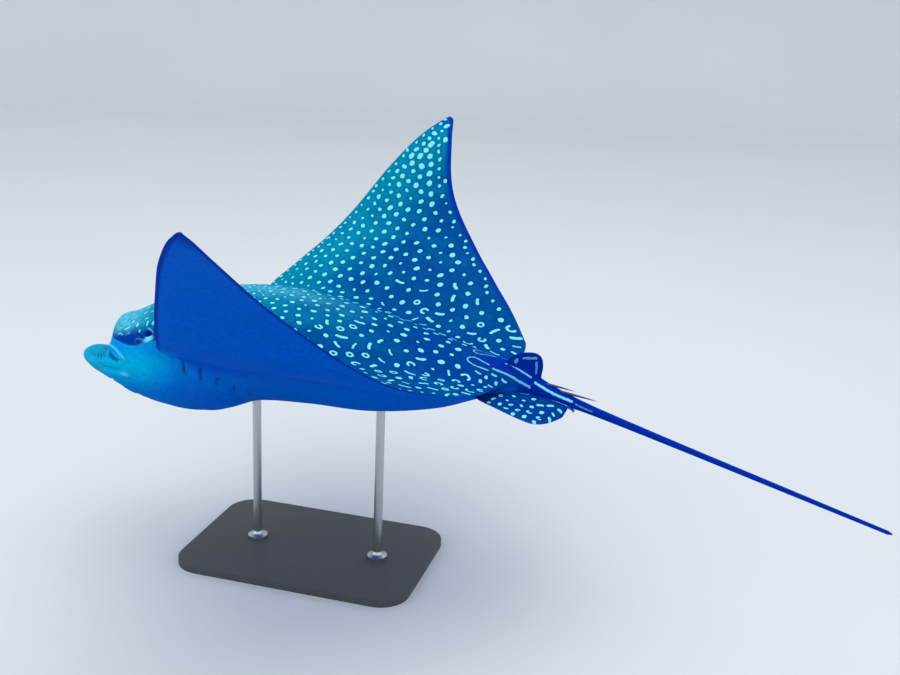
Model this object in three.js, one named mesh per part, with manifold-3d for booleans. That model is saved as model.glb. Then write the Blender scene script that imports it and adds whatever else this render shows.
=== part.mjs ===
// Spotted eagle ray, life size, gliding with both wings raised, on a plain display stand.
// Frame: +X is the animal's left, +Y runs back to the tail, +Z is up, in millimetres.
// The origin is the middle of the underside of the stand's base.
//
// The animal is described lying flat, as fractions of its disc width: u runs back from the
// tip of the snout, v out to the left and h up. flex() then bends the flat animal into its pose.
import * as THREE from 'three';
import { mergeVertices } from 'three/addons/utils/BufferGeometryUtils.js';
import Module from 'manifold-3d';

const wasm = await Module();
wasm.setup();

// ---------- driving dimensions ----------

const DISC_WIDTH = 1600; // tip to tip with the wings laid flat
const RIDE_HEIGHT = 450; // floor to the plane of the wings, at the middle of the body
const GAP = 0.3; // clearance between faces that meet
const RIM_HALF = 0.5; // half the thickness that a fin keeps out to its very edge

const BASE_LENGTH = 500; // stand base, along the body
const BASE_WIDTH = 340;
const BASE_THICK = 14;
const BASE_CORNER = 60;
const ROD_RADIUS = 9;
const ROD_FOOT_RADIUS = 21; // turned collar where a rod meets the base
const ROD_FOOT_HEIGHT = 10;
const ROD_STATIONS = { front: 0.25, rear: 0.42 };

const BALANCE = 0.33; // station above the middle of the base
const EYE = { u: 0.122, v: 0.063, h: 0.0048, radius: 11 };

// ---------- where the body is parted, as fractions of the disc width ----------

const SNOUT_END = 0.0475;
const NECK = 0.145;
const TAIL_START = 0.6;
const TAIL_CUTS = [0.6, 0.72, 0.87, 1.04];
const WING_ROOT = 0.1;
const WING_MIDDLE = 0.3;
const WING_TIP = 0.5;

// ---------- the flat animal: outline and heights ----------

// the whip of the tail is round, so its half width is its half height as well
const WHIP = [
  [0.63, 0.0105], [0.66, 0.007], [0.7, 0.005], [0.8, 0.0036], [0.9, 0.003], [1.04, 0.0021],
];
const WHIP_BELOW = WHIP.map(([u, half]) => [u, -half]);

// half width of head and neck, up to where the wing's edge leaves the body
const FRONT_WIDTH = spline([
  [0, 0], [0.0015, 0.009], [0.006, 0.019], [0.018, 0.031], [0.042, 0.041], [0.066, 0.051],
  [0.092, 0.062], [0.12, 0.068], [0.15, 0.0718], [0.171, 0.083], [0.184, 0.1],
]);
// half width from the free rear corners of the wings to the whip of the tail
const REAR_WIDTH = spline([
  [0.573, 0.1], [0.5755, 0.088], [0.5775, 0.066], [0.58, 0.046], [0.586, 0.031], [0.6, 0.0195],
  ...WHIP,
]);
// station of the wing's front and rear edges, from root to tip
const LEADING_EDGE = spline([
  [0.1, 0.184], [0.13, 0.192], [0.16, 0.2], [0.2, 0.22], [0.235, 0.2346], [0.3, 0.2626],
  [0.363, 0.2924], [0.4, 0.3118], [0.455, 0.3462], [0.487, 0.3704], [0.496, 0.378],
  [0.5, 0.384],
]);
const TRAILING_EDGE = spline([
  [0.1, 0.573], [0.165, 0.538], [0.26, 0.477], [0.36, 0.4195], [0.455, 0.398], [0.485, 0.3925],
  [0.495, 0.389], [0.5, 0.384],
]);
// height of back and belly on the midline
const BACK = spline([
  [0, -0.0145], [0.002, -0.0105], [0.007, -0.0095], [0.0125, -0.0118], [0.02, -0.0155],
  [0.03, -0.0185], [0.036, -0.0175], [0.042, -0.0115], [0.0475, -0.0005], [0.0525, 0.0155],
  [0.058, 0.0275], [0.066, 0.0345], [0.082, 0.0375], [0.1, 0.043], [0.12, 0.0505], [0.15, 0.06],
  [0.2, 0.0685], [0.26, 0.0735], [0.32, 0.07], [0.4, 0.0555], [0.48, 0.035], [0.54, 0.022],
  [0.6, 0.0165], ...WHIP,
]);
const BELLY = spline([
  [0, -0.0155], [0.002, -0.019], [0.007, -0.0225], [0.015, -0.0295], [0.03, -0.041],
  [0.05, -0.0535], [0.08, -0.0695], [0.12, -0.084], [0.17, -0.0925], [0.22, -0.0855],
  [0.27, -0.067], [0.34, -0.061], [0.42, -0.061], [0.5, -0.048], [0.56, -0.026], [0.6, -0.0165],
  ...WHIP_BELOW,
]);
// height of the widest line of the body, where the wings join it
const SHOULDER_LINE = spline([
  [0, -0.015], [0.015, -0.019], [0.03, -0.0235], [0.06, -0.02], [0.1, -0.012], [0.15, -0.006],
  [0.25, 0], [1.04, 0],
]);
// half width of the fleshy body, and how its section thins outwards: 0.5 is an ellipse
const BODY_WIDTH = spline([
  [0, 0.03], [0.03, 0.045], [0.07, 0.058], [0.1, 0.068], [0.14, 0.078], [0.18, 0.105],
  [0.24, 0.15], [0.32, 0.17], [0.4, 0.15], [0.48, 0.105], [0.54, 0.065], [0.58, 0.036],
  [0.6, 0.0195], ...WHIP,
]);
const BACK_TAPER = spline([
  [0, 0.5], [0.14, 0.55], [0.2, 0.85], [0.28, 1.05], [0.45, 1.5], [0.56, 1.2], [0.6, 0.5],
  [1.04, 0.5],
]);
const BELLY_TAPER = spline([
  [0, 0.5], [0.14, 0.55], [0.2, 1.2], [0.28, 1.7], [0.45, 1.7], [0.56, 1.2], [0.6, 0.5],
  [1.04, 0.5],
]);
// half thickness of the wing along its span
const WING_THICKNESS = spline([
  [0, 0.02], [0.08, 0.02], [0.14, 0.017], [0.22, 0.0122], [0.32, 0.0074], [0.42, 0.004],
  [0.5, 0.0016],
]);
const BROW = { sweep: 7, from: 0.09, to: 0.14 }; // how the forehead rounds back towards its sides
const ROOT_SLOPE = { front: 0.35, rear: 0.1 }; // how the wing's edges run on into the body
const BLEND_POWER = 3; // how softly wing and body run into each other

// ---------- the pose ----------

// slope of each wing along its span, in radians
const WING_RISE = {
  left: spline([
    [0, 0], [0.05, 0.193], [0.13, 0.302], [0.19, 0.482], [0.24, 0.67], [0.3, 0.772],
    [0.36, 0.713], [0.42, 0.683], [0.5, 0.698],
  ]),
  right: spline([
    [0, 0], [0.05, 0], [0.13, 0.545], [0.19, 0.52], [0.24, 0.49], [0.3, 0.71], [0.36, 0.95],
    [0.42, 0.94], [0.46, 0.72], [0.5, 0.42],
  ]),
};
const WING_TWIST = -0.27; // radians of slope for one disc width of chord
const MID_BODY = 0.36; // the station that the pose leaves in place
const HEAD_DIP = 0.138;
const TAIL_DROOP = 0.209;
const TAIL_SWING = 0.166; // to the left
const REAR_ROLL = 0.083; // left side down

// ---------- fins and spines ----------

const PELVIC_OUTER = spline([
  [0.55, 0.045], [0.565, 0.062], [0.585, 0.072], [0.61, 0.0795], [0.635, 0.0815],
  [0.647, 0.0775], [0.656, 0.058], [0.663, 0.02],
]);
const PELVIC_ROOT = spline([[0.55, 0.02], [0.6, 0.009], [0.663, 0.003]]);
const PELVIC = { front: 0.55, rear: 0.663, level: -0.013, rootLift: 0.65, half: 0.0034 };
const PELVIC_FOLD = { left: 0, right: 0.52 }; // how steeply each one hangs outside its root

const DORSAL = { front: 0.574, rear: 0.62, foot: 0.006, half: 0.0034 };
const DORSAL_TOP = spline([
  [0.574, 0.019], [0.58, 0.028], [0.589, 0.036], [0.6, 0.041], [0.609, 0.0425], [0.616, 0.0385],
  [0.6195, 0.028], [0.62, 0.016],
]);

const SPINES = [
  { name: 'sting_spine_long', from: 0.64, to: 0.693, root: 0.0055, tip: 0.0135, width: 5 },
  { name: 'sting_spine_short', from: 0.626, to: 0.664, root: 0.009, tip: 0.0145, width: 4.4 },
];

// ---------- small mathematics ----------

function clamp(x, low, high) {
  return Math.min(Math.max(x, low), high);
}

function easeBetween(start, end, x) {
  const t = clamp((x - start) / (end - start), 0, 1);
  return t * t * (3 - 2 * t);
}

/** Smooth curve through knots [x, y], held at its end values outside them. */
function spline(knots) {
  const last = knots.length - 1;
  const slope = (a, b) => (b[1] - a[1]) / (b[0] - a[0]);
  const tangents = knots.map((knot, i) => slope(knots[Math.max(i - 1, 0)], knots[Math.min(i + 1, last)]));
  return (value) => {
    const x = clamp(value, knots[0][0], knots[last][0]);
    let i = 0;
    while (i < last - 1 && x >= knots[i + 1][0]) {
      i += 1;
    }
    const [x0, y0] = knots[i];
    const [x1, y1] = knots[i + 1];
    const span = x1 - x0;
    const t = (x - x0) / span;
    const rise = (3 - 2 * t) * t * t;
    const leave = (1 - t) * (1 - t) * t * span * tangents[i];
    const arrive = (t - 1) * t * t * span * tangents[i + 1];
    return y0 * (1 - rise) + y1 * rise + leave + arrive;
  };
}

/** Thickness of a wing section along its chord, 1 at its thickest: round front, thin rear. */
function chordProfile(c) {
  const poly = -0.126 * c - 0.3516 * c ** 2 + 0.2843 * c ** 3 - 0.1036 * c ** 4;
  return Math.max(10 * (0.2969 * Math.sqrt(c) + poly), 0);
}

/** Upper and lower surface above the flat point (u, v). */
function surfaces(u, v) {
  const out = Math.abs(v);
  const inside = Math.max(WING_ROOT - out, 0);
  const front = LEADING_EDGE(out) - ROOT_SLOPE.front * inside;
  const rear = TRAILING_EDGE(out) + ROOT_SLOPE.rear * inside;
  const chord = clamp((u - front) / Math.max(rear - front, 1e-6), 0, 1);
  const wing = WING_THICKNESS(out) * chordProfile(chord);
  const across = clamp(out / BODY_WIDTH(u), 0, 1);
  const roundOff = 1 - across * across;
  const level = SHOULDER_LINE(u);
  const browU = u - BROW.sweep * out * out * (1 - easeBetween(BROW.from, BROW.to, u));
  const up = Math.max((BACK(browU) - level) * roundOff ** BACK_TAPER(u), 0);
  const down = Math.max((level - BELLY(u)) * roundOff ** BELLY_TAPER(u), 0);
  const blend = (flesh) => (flesh ** BLEND_POWER + wing ** BLEND_POWER) ** (1 / BLEND_POWER);
  const top = level + blend(up);
  const bottom = level - blend(down);
  const middle = (top + bottom) / 2;
  const half = Math.max((top - bottom) / 2, RIM_HALF / DISC_WIDTH);
  return { top: middle + half, bottom: middle - half };
}

// ---------- bending the flat animal into its pose ----------

/** The line of the body: place, dive and swing at even steps along it. */
function bodyLine() {
  const start = -0.04;
  const step = 0.0025;
  const count = 460;
  const line = [];
  let x = 0;
  let y = 0;
  let z = 0;
  for (let i = 0; i <= count; i += 1) {
    const u = start + i * step;
    const behind = easeBetween(0.52, 0.64, u);
    const dive = HEAD_DIP * (1 - easeBetween(0.1, 0.26, u)) - TAIL_DROOP * behind;
    const swing = TAIL_SWING * behind;
    line.push({ x, y, z, dive, swing });
    x += Math.sin(swing) * step;
    y += Math.cos(dive) * Math.cos(swing) * step;
    z += Math.sin(dive) * step;
  }
  const at = (u) => {
    const place = clamp((u - start) / step, 0, count - 1e-6);
    const i = Math.floor(place);
    const mix = (key) => line[i][key] + (line[i + 1][key] - line[i][key]) * (place - i);
    return { x: mix('x'), y: mix('y'), z: mix('z'), dive: mix('dive'), swing: mix('swing') };
  };
  return at;
}

const alongBody = bodyLine();
const middleOfBody = alongBody(MID_BODY);

/** Slope of a wing at the flat point (u, out). */
function wingSlope(u, out, side) {
  const rise = side < 0 ? WING_RISE.right(out) : WING_RISE.left(out);
  return rise + WING_TWIST * (u - MID_BODY) * easeBetween(0, 0.3, out);
}

/** Place, in millimetres, that the flat point (u, v, h) takes in the pose. */
function flex(u, v, h) {
  const side = v < 0 ? -1 : 1;
  const steps = 40;
  const stride = Math.abs(v) / steps;
  let x = 0;
  let z = 0;
  for (let i = 0; i < steps; i += 1) {
    const slope = wingSlope(u, (i + 0.5) * stride, side);
    x += Math.cos(slope) * stride;
    z += Math.sin(slope) * stride;
  }
  const end = wingSlope(u, Math.abs(v), side);
  const outwards = side * (x - h * Math.sin(end));
  const upwards = z + h * Math.cos(end);

  const roll = REAR_ROLL * easeBetween(0.3, 0.56, u);
  const sideways = outwards * Math.cos(roll) + upwards * Math.sin(roll);
  const lift = upwards * Math.cos(roll) - outwards * Math.sin(roll);
  const line = alongBody(u);
  return new THREE.Vector3(
    DISC_WIDTH * (line.x - middleOfBody.x + sideways * Math.cos(line.swing)),
    DISC_WIDTH * (line.y - middleOfBody.y + MID_BODY - BALANCE - lift * Math.sin(line.dive)
      - sideways * Math.sin(line.swing)),
    RIDE_HEIGHT + DISC_WIDTH * (line.z - middleOfBody.z + lift * Math.cos(line.dive)),
  );
}

// ---------- closed solids ----------

/** One closed body from points and faces; points that coincide are made one. */
function closedGeometry(points, faces) {
  const positions = points.flatMap((p) => [p.x, p.y, p.z]);
  const loose = new THREE.BufferGeometry();
  loose.setAttribute('position', new THREE.Float32BufferAttribute(positions, 3));
  loose.setIndex(faces.flat());
  const geometry = mergeVertices(loose, 1e-3);
  const index = Array.from(geometry.index.array);
  const kept = [];
  for (let i = 0; i < index.length; i += 3) {
    const [a, b, c] = index.slice(i, i + 3);
    if (a !== b && b !== c && c !== a) kept.push(a, b, c);
  }
  geometry.setIndex(kept);
  return geometry;
}

/**
 * A slab over a grid: at(i, j) gives the upper and lower point, rows i run back and columns j
 * run to the left. Its four sides are walled, and a side of no height closes by itself.
 */
function slab(rows, columns, at, mirrored = false) {
  const points = [];
  for (let i = 0; i <= rows; i += 1) {
    for (let j = 0; j <= columns; j += 1) points.push(...at(i, j));
  }
  const upper = (i, j) => 2 * (i * (columns + 1) + j);
  const lower = (i, j) => upper(i, j) + 1;
  const faces = [];
  const quad = (a, b, c, d) => faces.push(...(mirrored ? [[c, b, a], [d, c, a]] : [[a, b, c], [a, c, d]]));
  for (let i = 0; i < rows; i += 1) {
    for (let j = 0; j < columns; j += 1) {
      quad(upper(i, j), upper(i, j + 1), upper(i + 1, j + 1), upper(i + 1, j));
      quad(lower(i, j), lower(i + 1, j), lower(i + 1, j + 1), lower(i, j + 1));
    }
    quad(upper(i, 0), upper(i + 1, 0), lower(i + 1, 0), lower(i, 0));
    quad(upper(i, columns), lower(i, columns), lower(i + 1, columns), upper(i + 1, columns));
  }
  for (let j = 0; j < columns; j += 1) {
    quad(upper(0, j), lower(0, j), lower(0, j + 1), upper(0, j + 1));
    quad(upper(rows, j + 1), lower(rows, j + 1), lower(rows, j), upper(rows, j));
  }
  return closedGeometry(points, faces);
}

function toManifold(geometry) {
  const bare = geometry.clone();
  bare.deleteAttribute('normal');
  bare.deleteAttribute('uv');
  const merged = mergeVertices(bare, 1e-4);
  return new wasm.Manifold(new wasm.Mesh({
    numProp: 3,
    vertProperties: new Float32Array(merged.attributes.position.array),
    triVerts: new Uint32Array(merged.index.array),
  }));
}

function fromManifold(manifold) {
  const mesh = manifold.getMesh();
  const geometry = new THREE.BufferGeometry();
  geometry.setAttribute('position', new THREE.Float32BufferAttribute(mesh.vertProperties, 3));
  geometry.setIndex(Array.from(mesh.triVerts));
  return geometry;
}

function cutAway(geometry, ...cutters) {
  const left = cutters.reduce((solid, cutter) => solid.subtract(toManifold(cutter)), toManifold(geometry));
  return fromManifold(left);
}

// ---------- materials ----------

const SKINS = {
  back: { color: '#1f4f63', roughness: 0.45, metalness: 0 },
  fin: { color: '#1b4358', roughness: 0.45, metalness: 0 },
  tail: { color: '#14283a', roughness: 0.5, metalness: 0 },
  spine: { color: '#c9c2a8', roughness: 0.4, metalness: 0 },
  eye: { color: '#0b1116', roughness: 0.08, metalness: 0 },
  paint: { color: '#3a3d40', roughness: 0.6, metalness: 0 },
  steel: { color: '#b9bcbe', roughness: 0.3, metalness: 1 },
};

const group = new THREE.Group();

function addNode(name, geometry, skin) {
  const mesh = new THREE.Mesh(geometry, new THREE.MeshStandardMaterial(SKINS[skin]));
  mesh.name = name;
  group.add(mesh);
}

// ---------- head, trunk and tail ----------

const HALF_GAP = GAP / 2 / DISC_WIDTH;
const CHORD_STEPS = 16;
// chord fractions shared by trunk and wings, closer together at the leading edge
const CHORD = Array.from({ length: CHORD_STEPS + 1 }, (_, i) => {
  const t = i / CHORD_STEPS;
  return 0.55 * (1 - Math.cos((t * Math.PI) / 2)) + 0.45 * t;
});

function bodyHalfWidth(u) {
  if (u < LEADING_EDGE(WING_ROOT)) return FRONT_WIDTH(u);
  if (u > TRAILING_EDGE(WING_ROOT)) return REAR_WIDTH(u);
  return WING_ROOT;
}

function pairAt(u, v, swell = 0) {
  const { top, bottom } = surfaces(u, v);
  return [flex(u, v, top + swell), flex(u, v, bottom - swell)];
}

/** A length of the body: full width at each station, its columns crowding to round edges. */
function bodyLength({ stations, columns, crowding }, swell = 0) {
  const across = (j) => {
    const s = (2 * j) / columns - 1;
    return crowding * Math.sin((s * Math.PI) / 2) + (1 - crowding) * s;
  };
  return slab(stations.length - 1, columns, (i, j) => {
    const u = stations[i];
    const half = Math.min(bodyHalfWidth(u), WING_ROOT - HALF_GAP) + swell;
    return pairAt(u, across(j) * half, swell);
  });
}

/** Stations from start to end; power above 1 crowds them towards the start. */
function stationsBetween(start, end, steps, power = 1) {
  return Array.from({ length: steps + 1 }, (_, i) => start + (end - start) * (i / steps) ** power);
}

const rootFront = LEADING_EDGE(WING_ROOT);
const rootRear = TRAILING_EDGE(WING_ROOT);

const snout = {
  stations: stationsBetween(0, SNOUT_END - HALF_GAP, 9, 1.7),
  columns: 12,
  crowding: 1,
};
const head = {
  stations: stationsBetween(SNOUT_END + HALF_GAP, NECK - HALF_GAP, 12, 1.3),
  columns: 16,
  crowding: 1,
};
const trunk = {
  stations: [
    ...stationsBetween(NECK + HALF_GAP, rootFront, 4).slice(0, -1),
    ...CHORD.map((c) => rootFront + c * (rootRear - rootFront)),
    ...[0.5755, 0.5775, 0.58, 0.586, 0.592, TAIL_START - HALF_GAP],
  ],
  columns: 16,
  crowding: 0.25,
};
const TAIL_STEPS = [{ steps: 7, power: 1.3 }, { steps: 4, power: 1 }, { steps: 4, power: 1 }];
const tails = TAIL_STEPS.map(({ steps, power }, i) => ({
  stations: stationsBetween(TAIL_CUTS[i] + HALF_GAP, TAIL_CUTS[i + 1] - HALF_GAP, steps, power),
  columns: 8,
  crowding: 1,
}));

addNode('snout', bodyLength(snout), 'back');
addNode('trunk', bodyLength(trunk), 'back');
tails.forEach((tail, i) => addNode(`tail_${i + 1}`, bodyLength(tail), 'tail'));

// the same trunk and tail base, fuller by the clearance and run into each other, cut away
// what grows or stands on them
const clearance = GAP / DISC_WIDTH;
const trunkClear = bodyLength({
  ...trunk,
  stations: [...trunk.stations.slice(0, -1), TAIL_START + HALF_GAP],
}, clearance);
const tailClear = bodyLength({
  ...tails[0],
  stations: [TAIL_START - HALF_GAP, ...tails[0].stations.slice(1)],
}, clearance);

// ---------- eyes, each a ball in its socket ----------

function eyeball(side, slack) {
  const ball = new THREE.SphereGeometry(EYE.radius + slack, 14, 10);
  const centre = flex(EYE.u, side * EYE.v, EYE.h);
  ball.translate(centre.x, centre.y, centre.z);
  return ball;
}

addNode('head', cutAway(bodyLength(head), eyeball(1, GAP), eyeball(-1, GAP)), 'back');
addNode('eye_left', eyeball(1, 0), 'eye');
addNode('eye_right', eyeball(-1, 0), 'eye');

// ---------- wings, each in an inner and an outer part ----------

function wingPart(side, from, to, steps, power) {
  const spans = Array.from({ length: steps + 1 }, (_, j) => {
    const t = j / steps;
    return from + (to - from) * (1 - (1 - t) ** power);
  });
  return slab(CHORD_STEPS, steps, (i, j) => {
    const front = LEADING_EDGE(spans[j]);
    const rear = TRAILING_EDGE(spans[j]);
    return pairAt(front + CHORD[i] * (rear - front), side * spans[j]);
  }, side < 0);
}

for (const [label, side] of [['left', 1], ['right', -1]]) {
  const inner = wingPart(side, WING_ROOT + HALF_GAP, WING_MIDDLE - HALF_GAP, 8, 1);
  const outer = wingPart(side, WING_MIDDLE + HALF_GAP, WING_TIP, 10, 1.6);
  addNode(`wing_${label}_inner`, inner, 'back');
  addNode(`wing_${label}_outer`, outer, 'back');
}

// ---------- small fins, cut to the body with a clear gap ----------

/** Rounded thickness over a fin: t runs 0 to 1 from root to edge, s from front to rear. */
function finHalf(half, s, t) {
  const ends = Math.sqrt(Math.max(1 - (2 * s - 1) ** 2, 0));
  return Math.max(half * (1 - 0.75 * t) * (0.35 + 0.65 * ends), RIM_HALF / DISC_WIDTH);
}

function pelvicFin(side) {
  const rows = 10;
  const columns = 6;
  return slab(rows, columns, (i, j) => {
    const s = i / rows;
    const t = j / columns;
    const u = PELVIC.front + (PELVIC.rear - PELVIC.front) * s;
    const reach = (PELVIC_OUTER(u) - PELVIC_ROOT(u)) * t;
    const v = PELVIC_ROOT(u) + reach;
    const fold = side < 0 ? PELVIC_FOLD.right : PELVIC_FOLD.left;
    const level = PELVIC.level * (1 - PELVIC.rootLift * s * (1 - t)) - fold * reach;
    const half = finHalf(PELVIC.half, s, t);
    return [flex(u, side * v, level + half), flex(u, side * v, level - half)];
  }, side < 0);
}

function dorsalFin() {
  const rows = 10;
  const columns = 5;
  return slab(rows, columns, (i, j) => {
    const s = i / rows;
    const t = j / columns;
    const u = DORSAL.front + (DORSAL.rear - DORSAL.front) * s;
    const h = DORSAL.foot + (DORSAL_TOP(u) - DORSAL.foot) * t;
    const half = finHalf(DORSAL.half, s, t);
    return [flex(u, -half, h), flex(u, half, h)];
  });
}

addNode('pelvic_fin_left', cutAway(pelvicFin(1), trunkClear, tailClear), 'fin');
addNode('pelvic_fin_right', cutAway(pelvicFin(-1), trunkClear, tailClear), 'fin');
addNode('dorsal_fin', cutAway(dorsalFin(), trunkClear, tailClear), 'fin');

// ---------- the two tail spines, flat blades that end in a point ----------

function stingSpine({ from, to, root, tip, width }) {
  const rows = 6;
  const flatness = 0.55;
  return slab(rows, 2, (i, j) => {
    const s = i / rows;
    const u = from + (to - from) * s;
    const thin = (1 - 0.9 * s ** 2) / DISC_WIDTH;
    const v = (j - 1) * width * thin * 0.5;
    const centre = root + (tip - root) * s ** 0.8;
    const half = (j === 1 ? 0.5 : 0.2) * width * flatness * thin;
    return [flex(u, v, centre + half), flex(u, v, centre - half)];
  });
}

for (const spine of SPINES) {
  addNode(spine.name, cutAway(stingSpine(spine), trunkClear, tailClear), 'spine');
}

// ---------- display stand ----------

function standBase() {
  const halfX = BASE_WIDTH / 2;
  const halfY = BASE_LENGTH / 2;
  const outline = new THREE.Shape();
  outline.moveTo(halfX - BASE_CORNER, -halfY);
  outline.absarc(halfX - BASE_CORNER, -halfY + BASE_CORNER, BASE_CORNER, -Math.PI / 2, 0);
  outline.absarc(halfX - BASE_CORNER, halfY - BASE_CORNER, BASE_CORNER, 0, Math.PI / 2);
  outline.absarc(-halfX + BASE_CORNER, halfY - BASE_CORNER, BASE_CORNER, Math.PI / 2, Math.PI);
  outline.absarc(-halfX + BASE_CORNER, -halfY + BASE_CORNER, BASE_CORNER, Math.PI, 1.5 * Math.PI);
  return new THREE.ExtrudeGeometry(outline, { depth: BASE_THICK, bevelEnabled: false, curveSegments: 6 });
}

/** A turned rod with a collar at its foot, reaching into the body before it is cut to fit. */
function standRod(station) {
  const foot = BASE_THICK + GAP;
  const top = RIDE_HEIGHT;
  const profile = [
    [0, foot], [ROD_FOOT_RADIUS, foot], [ROD_FOOT_RADIUS, foot + ROD_FOOT_HEIGHT * 0.6],
    [ROD_RADIUS + 3, foot + ROD_FOOT_HEIGHT], [ROD_RADIUS, foot + ROD_FOOT_HEIGHT * 1.5],
    [ROD_RADIUS, top], [0, top],
  ].map(([r, z]) => new THREE.Vector2(r, z));
  const rod = new THREE.LatheGeometry(profile, 20);
  rod.rotateX(Math.PI / 2);
  const place = flex(station, 0, 0);
  rod.translate(0, place.y, 0);
  return rod;
}

addNode('stand_base', standBase(), 'paint');
addNode('stand_rod_front', cutAway(standRod(ROD_STATIONS.front), trunkClear), 'steel');
addNode('stand_rod_rear', cutAway(standRod(ROD_STATIONS.rear), trunkClear), 'steel');

export default group;
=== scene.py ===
"""Spotted eagle ray, life size, gliding with both wings raised, on a plain display stand.

The animal is first made lying flat, in millimetres: v runs out to its left, u back from the tip of
the snout and h up. Its skin is sculpted there and then bent into the pose by flex(), as the solids
of the frame are. Every piece ends up in metres in the frame's own axes.
"""
import math

import bmesh
import bpy
import numpy as np
from mathutils import Matrix, Vector, kdtree


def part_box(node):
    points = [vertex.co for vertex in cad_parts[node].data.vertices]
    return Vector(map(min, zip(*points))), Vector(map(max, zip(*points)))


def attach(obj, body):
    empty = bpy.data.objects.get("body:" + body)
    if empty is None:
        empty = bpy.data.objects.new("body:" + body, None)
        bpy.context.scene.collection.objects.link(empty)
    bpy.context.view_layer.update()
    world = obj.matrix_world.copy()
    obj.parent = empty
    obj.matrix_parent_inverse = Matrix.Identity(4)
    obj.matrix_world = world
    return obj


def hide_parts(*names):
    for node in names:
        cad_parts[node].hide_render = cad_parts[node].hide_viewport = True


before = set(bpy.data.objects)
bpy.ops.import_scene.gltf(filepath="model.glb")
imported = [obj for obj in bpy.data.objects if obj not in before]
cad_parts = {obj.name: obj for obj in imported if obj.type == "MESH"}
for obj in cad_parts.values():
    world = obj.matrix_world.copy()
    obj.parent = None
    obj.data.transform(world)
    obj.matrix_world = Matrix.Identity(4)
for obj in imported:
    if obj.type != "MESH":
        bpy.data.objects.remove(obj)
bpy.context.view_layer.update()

# ---------- driving dimensions, in millimetres ----------

DISC_WIDTH = 1600  # tip to tip with the wings laid flat
RIDE_HEIGHT = 450  # floor to the plane of the wings, at the middle of the body
RIM_HALF = 0.5  # half the thickness that a fin keeps out to its edge
METRE = 1000

# ---------- places on the body, as fractions of the disc width ----------

BALANCE = 0.33  # station above the middle of the stand's base
MID_BODY = 0.36  # the station that the pose leaves in place
WING_ROOT = 0.1
WING_TIP = 0.5
TAIL_START = 0.6
TAIL_END = 1.04
EYE = {"u": 0.122, "v": 0.063, "h": 0.0048}


# ---------- small mathematics ----------

def spline(*knots):
    """Smooth curve through (x, y) knots, held at its end values outside them."""
    x, y = np.array(knots, float).T
    place = np.arange(len(x))
    before = np.maximum(place - 1, 0)
    after = np.minimum(place + 1, len(x) - 1)
    slope = (y[after] - y[before]) / (x[after] - x[before])

    def at(value):
        value = np.clip(value, x[0], x[-1])
        i = np.clip(np.searchsorted(x, value, side="right") - 1, 0, len(x) - 2)
        span = x[i + 1] - x[i]
        t = (value - x[i]) / span
        rise = (3 - 2 * t) * t * t
        leave = (1 - t) ** 2 * t * span * slope[i]
        arrive = (t - 1) * t * t * span * slope[i + 1]
        return y[i] * (1 - rise) + y[i + 1] * rise + leave + arrive

    return at


def ease(start, end, x):
    """0 before start, 1 after end, and smooth between them."""
    t = np.clip((x - start) / (end - start), 0, 1)
    return t * t * (3 - 2 * t)


def bump(distance, reach):
    """1 at no distance, falling smoothly to 0 at reach."""
    return (1 - np.clip(distance / reach, 0, 1) ** 2) ** 2


# ---------- the flat animal: outline and heights, as fractions of the disc width ----------

# the whip of the tail is round, so its half width is its half height as well
WHIP = ((0.63, 0.0105), (0.66, 0.007), (0.7, 0.005), (0.8, 0.0036), (0.9, 0.003), (1.04, 0.0021))
WHIP_BELOW = tuple((u, -half) for u, half in WHIP)

FRONT_WIDTH = spline(
    (0, 0), (0.0015, 0.009), (0.006, 0.019), (0.018, 0.031), (0.042, 0.041), (0.066, 0.051),
    (0.092, 0.062), (0.12, 0.068), (0.15, 0.0718), (0.171, 0.083), (0.184, 0.1))
REAR_WIDTH = spline(
    (0.573, 0.1), (0.5755, 0.088), (0.5775, 0.066), (0.58, 0.046), (0.586, 0.031), (0.6, 0.0195),
    *WHIP)
LEADING_EDGE = spline(
    (0.1, 0.184), (0.13, 0.192), (0.16, 0.2), (0.2, 0.22), (0.235, 0.2346), (0.3, 0.2626),
    (0.363, 0.2924), (0.4, 0.3118), (0.455, 0.3462), (0.487, 0.3704), (0.496, 0.378), (0.5, 0.384))
TRAILING_EDGE = spline(
    (0.1, 0.573), (0.165, 0.538), (0.26, 0.477), (0.36, 0.4195), (0.455, 0.398),
    (0.485, 0.3925), (0.495, 0.389), (0.5, 0.384))
BACK = spline(
    (0, -0.0145), (0.002, -0.0105), (0.007, -0.0095), (0.0125, -0.0118), (0.02, -0.0155),
    (0.03, -0.0185), (0.036, -0.0175), (0.042, -0.0115), (0.0475, -0.0005), (0.0525, 0.0155),
    (0.058, 0.0275), (0.066, 0.0345), (0.082, 0.0375), (0.1, 0.043), (0.12, 0.0505), (0.15, 0.06),
    (0.2, 0.0685), (0.26, 0.0735), (0.32, 0.07), (0.4, 0.0555), (0.48, 0.035), (0.54, 0.022),
    (0.6, 0.0165), *WHIP)
BELLY = spline(
    (0, -0.0155), (0.002, -0.019), (0.007, -0.0225), (0.015, -0.0295), (0.03, -0.041),
    (0.05, -0.0535), (0.08, -0.0695), (0.12, -0.084), (0.17, -0.0925), (0.22, -0.0855),
    (0.27, -0.067), (0.34, -0.061), (0.42, -0.061), (0.5, -0.048), (0.56, -0.026),
    (0.6, -0.0165), *WHIP_BELOW)
SHOULDER_LINE = spline(
    (0, -0.015), (0.015, -0.019), (0.03, -0.0235), (0.06, -0.02), (0.1, -0.012), (0.15, -0.006),
    (0.25, 0), (1.04, 0))
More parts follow.
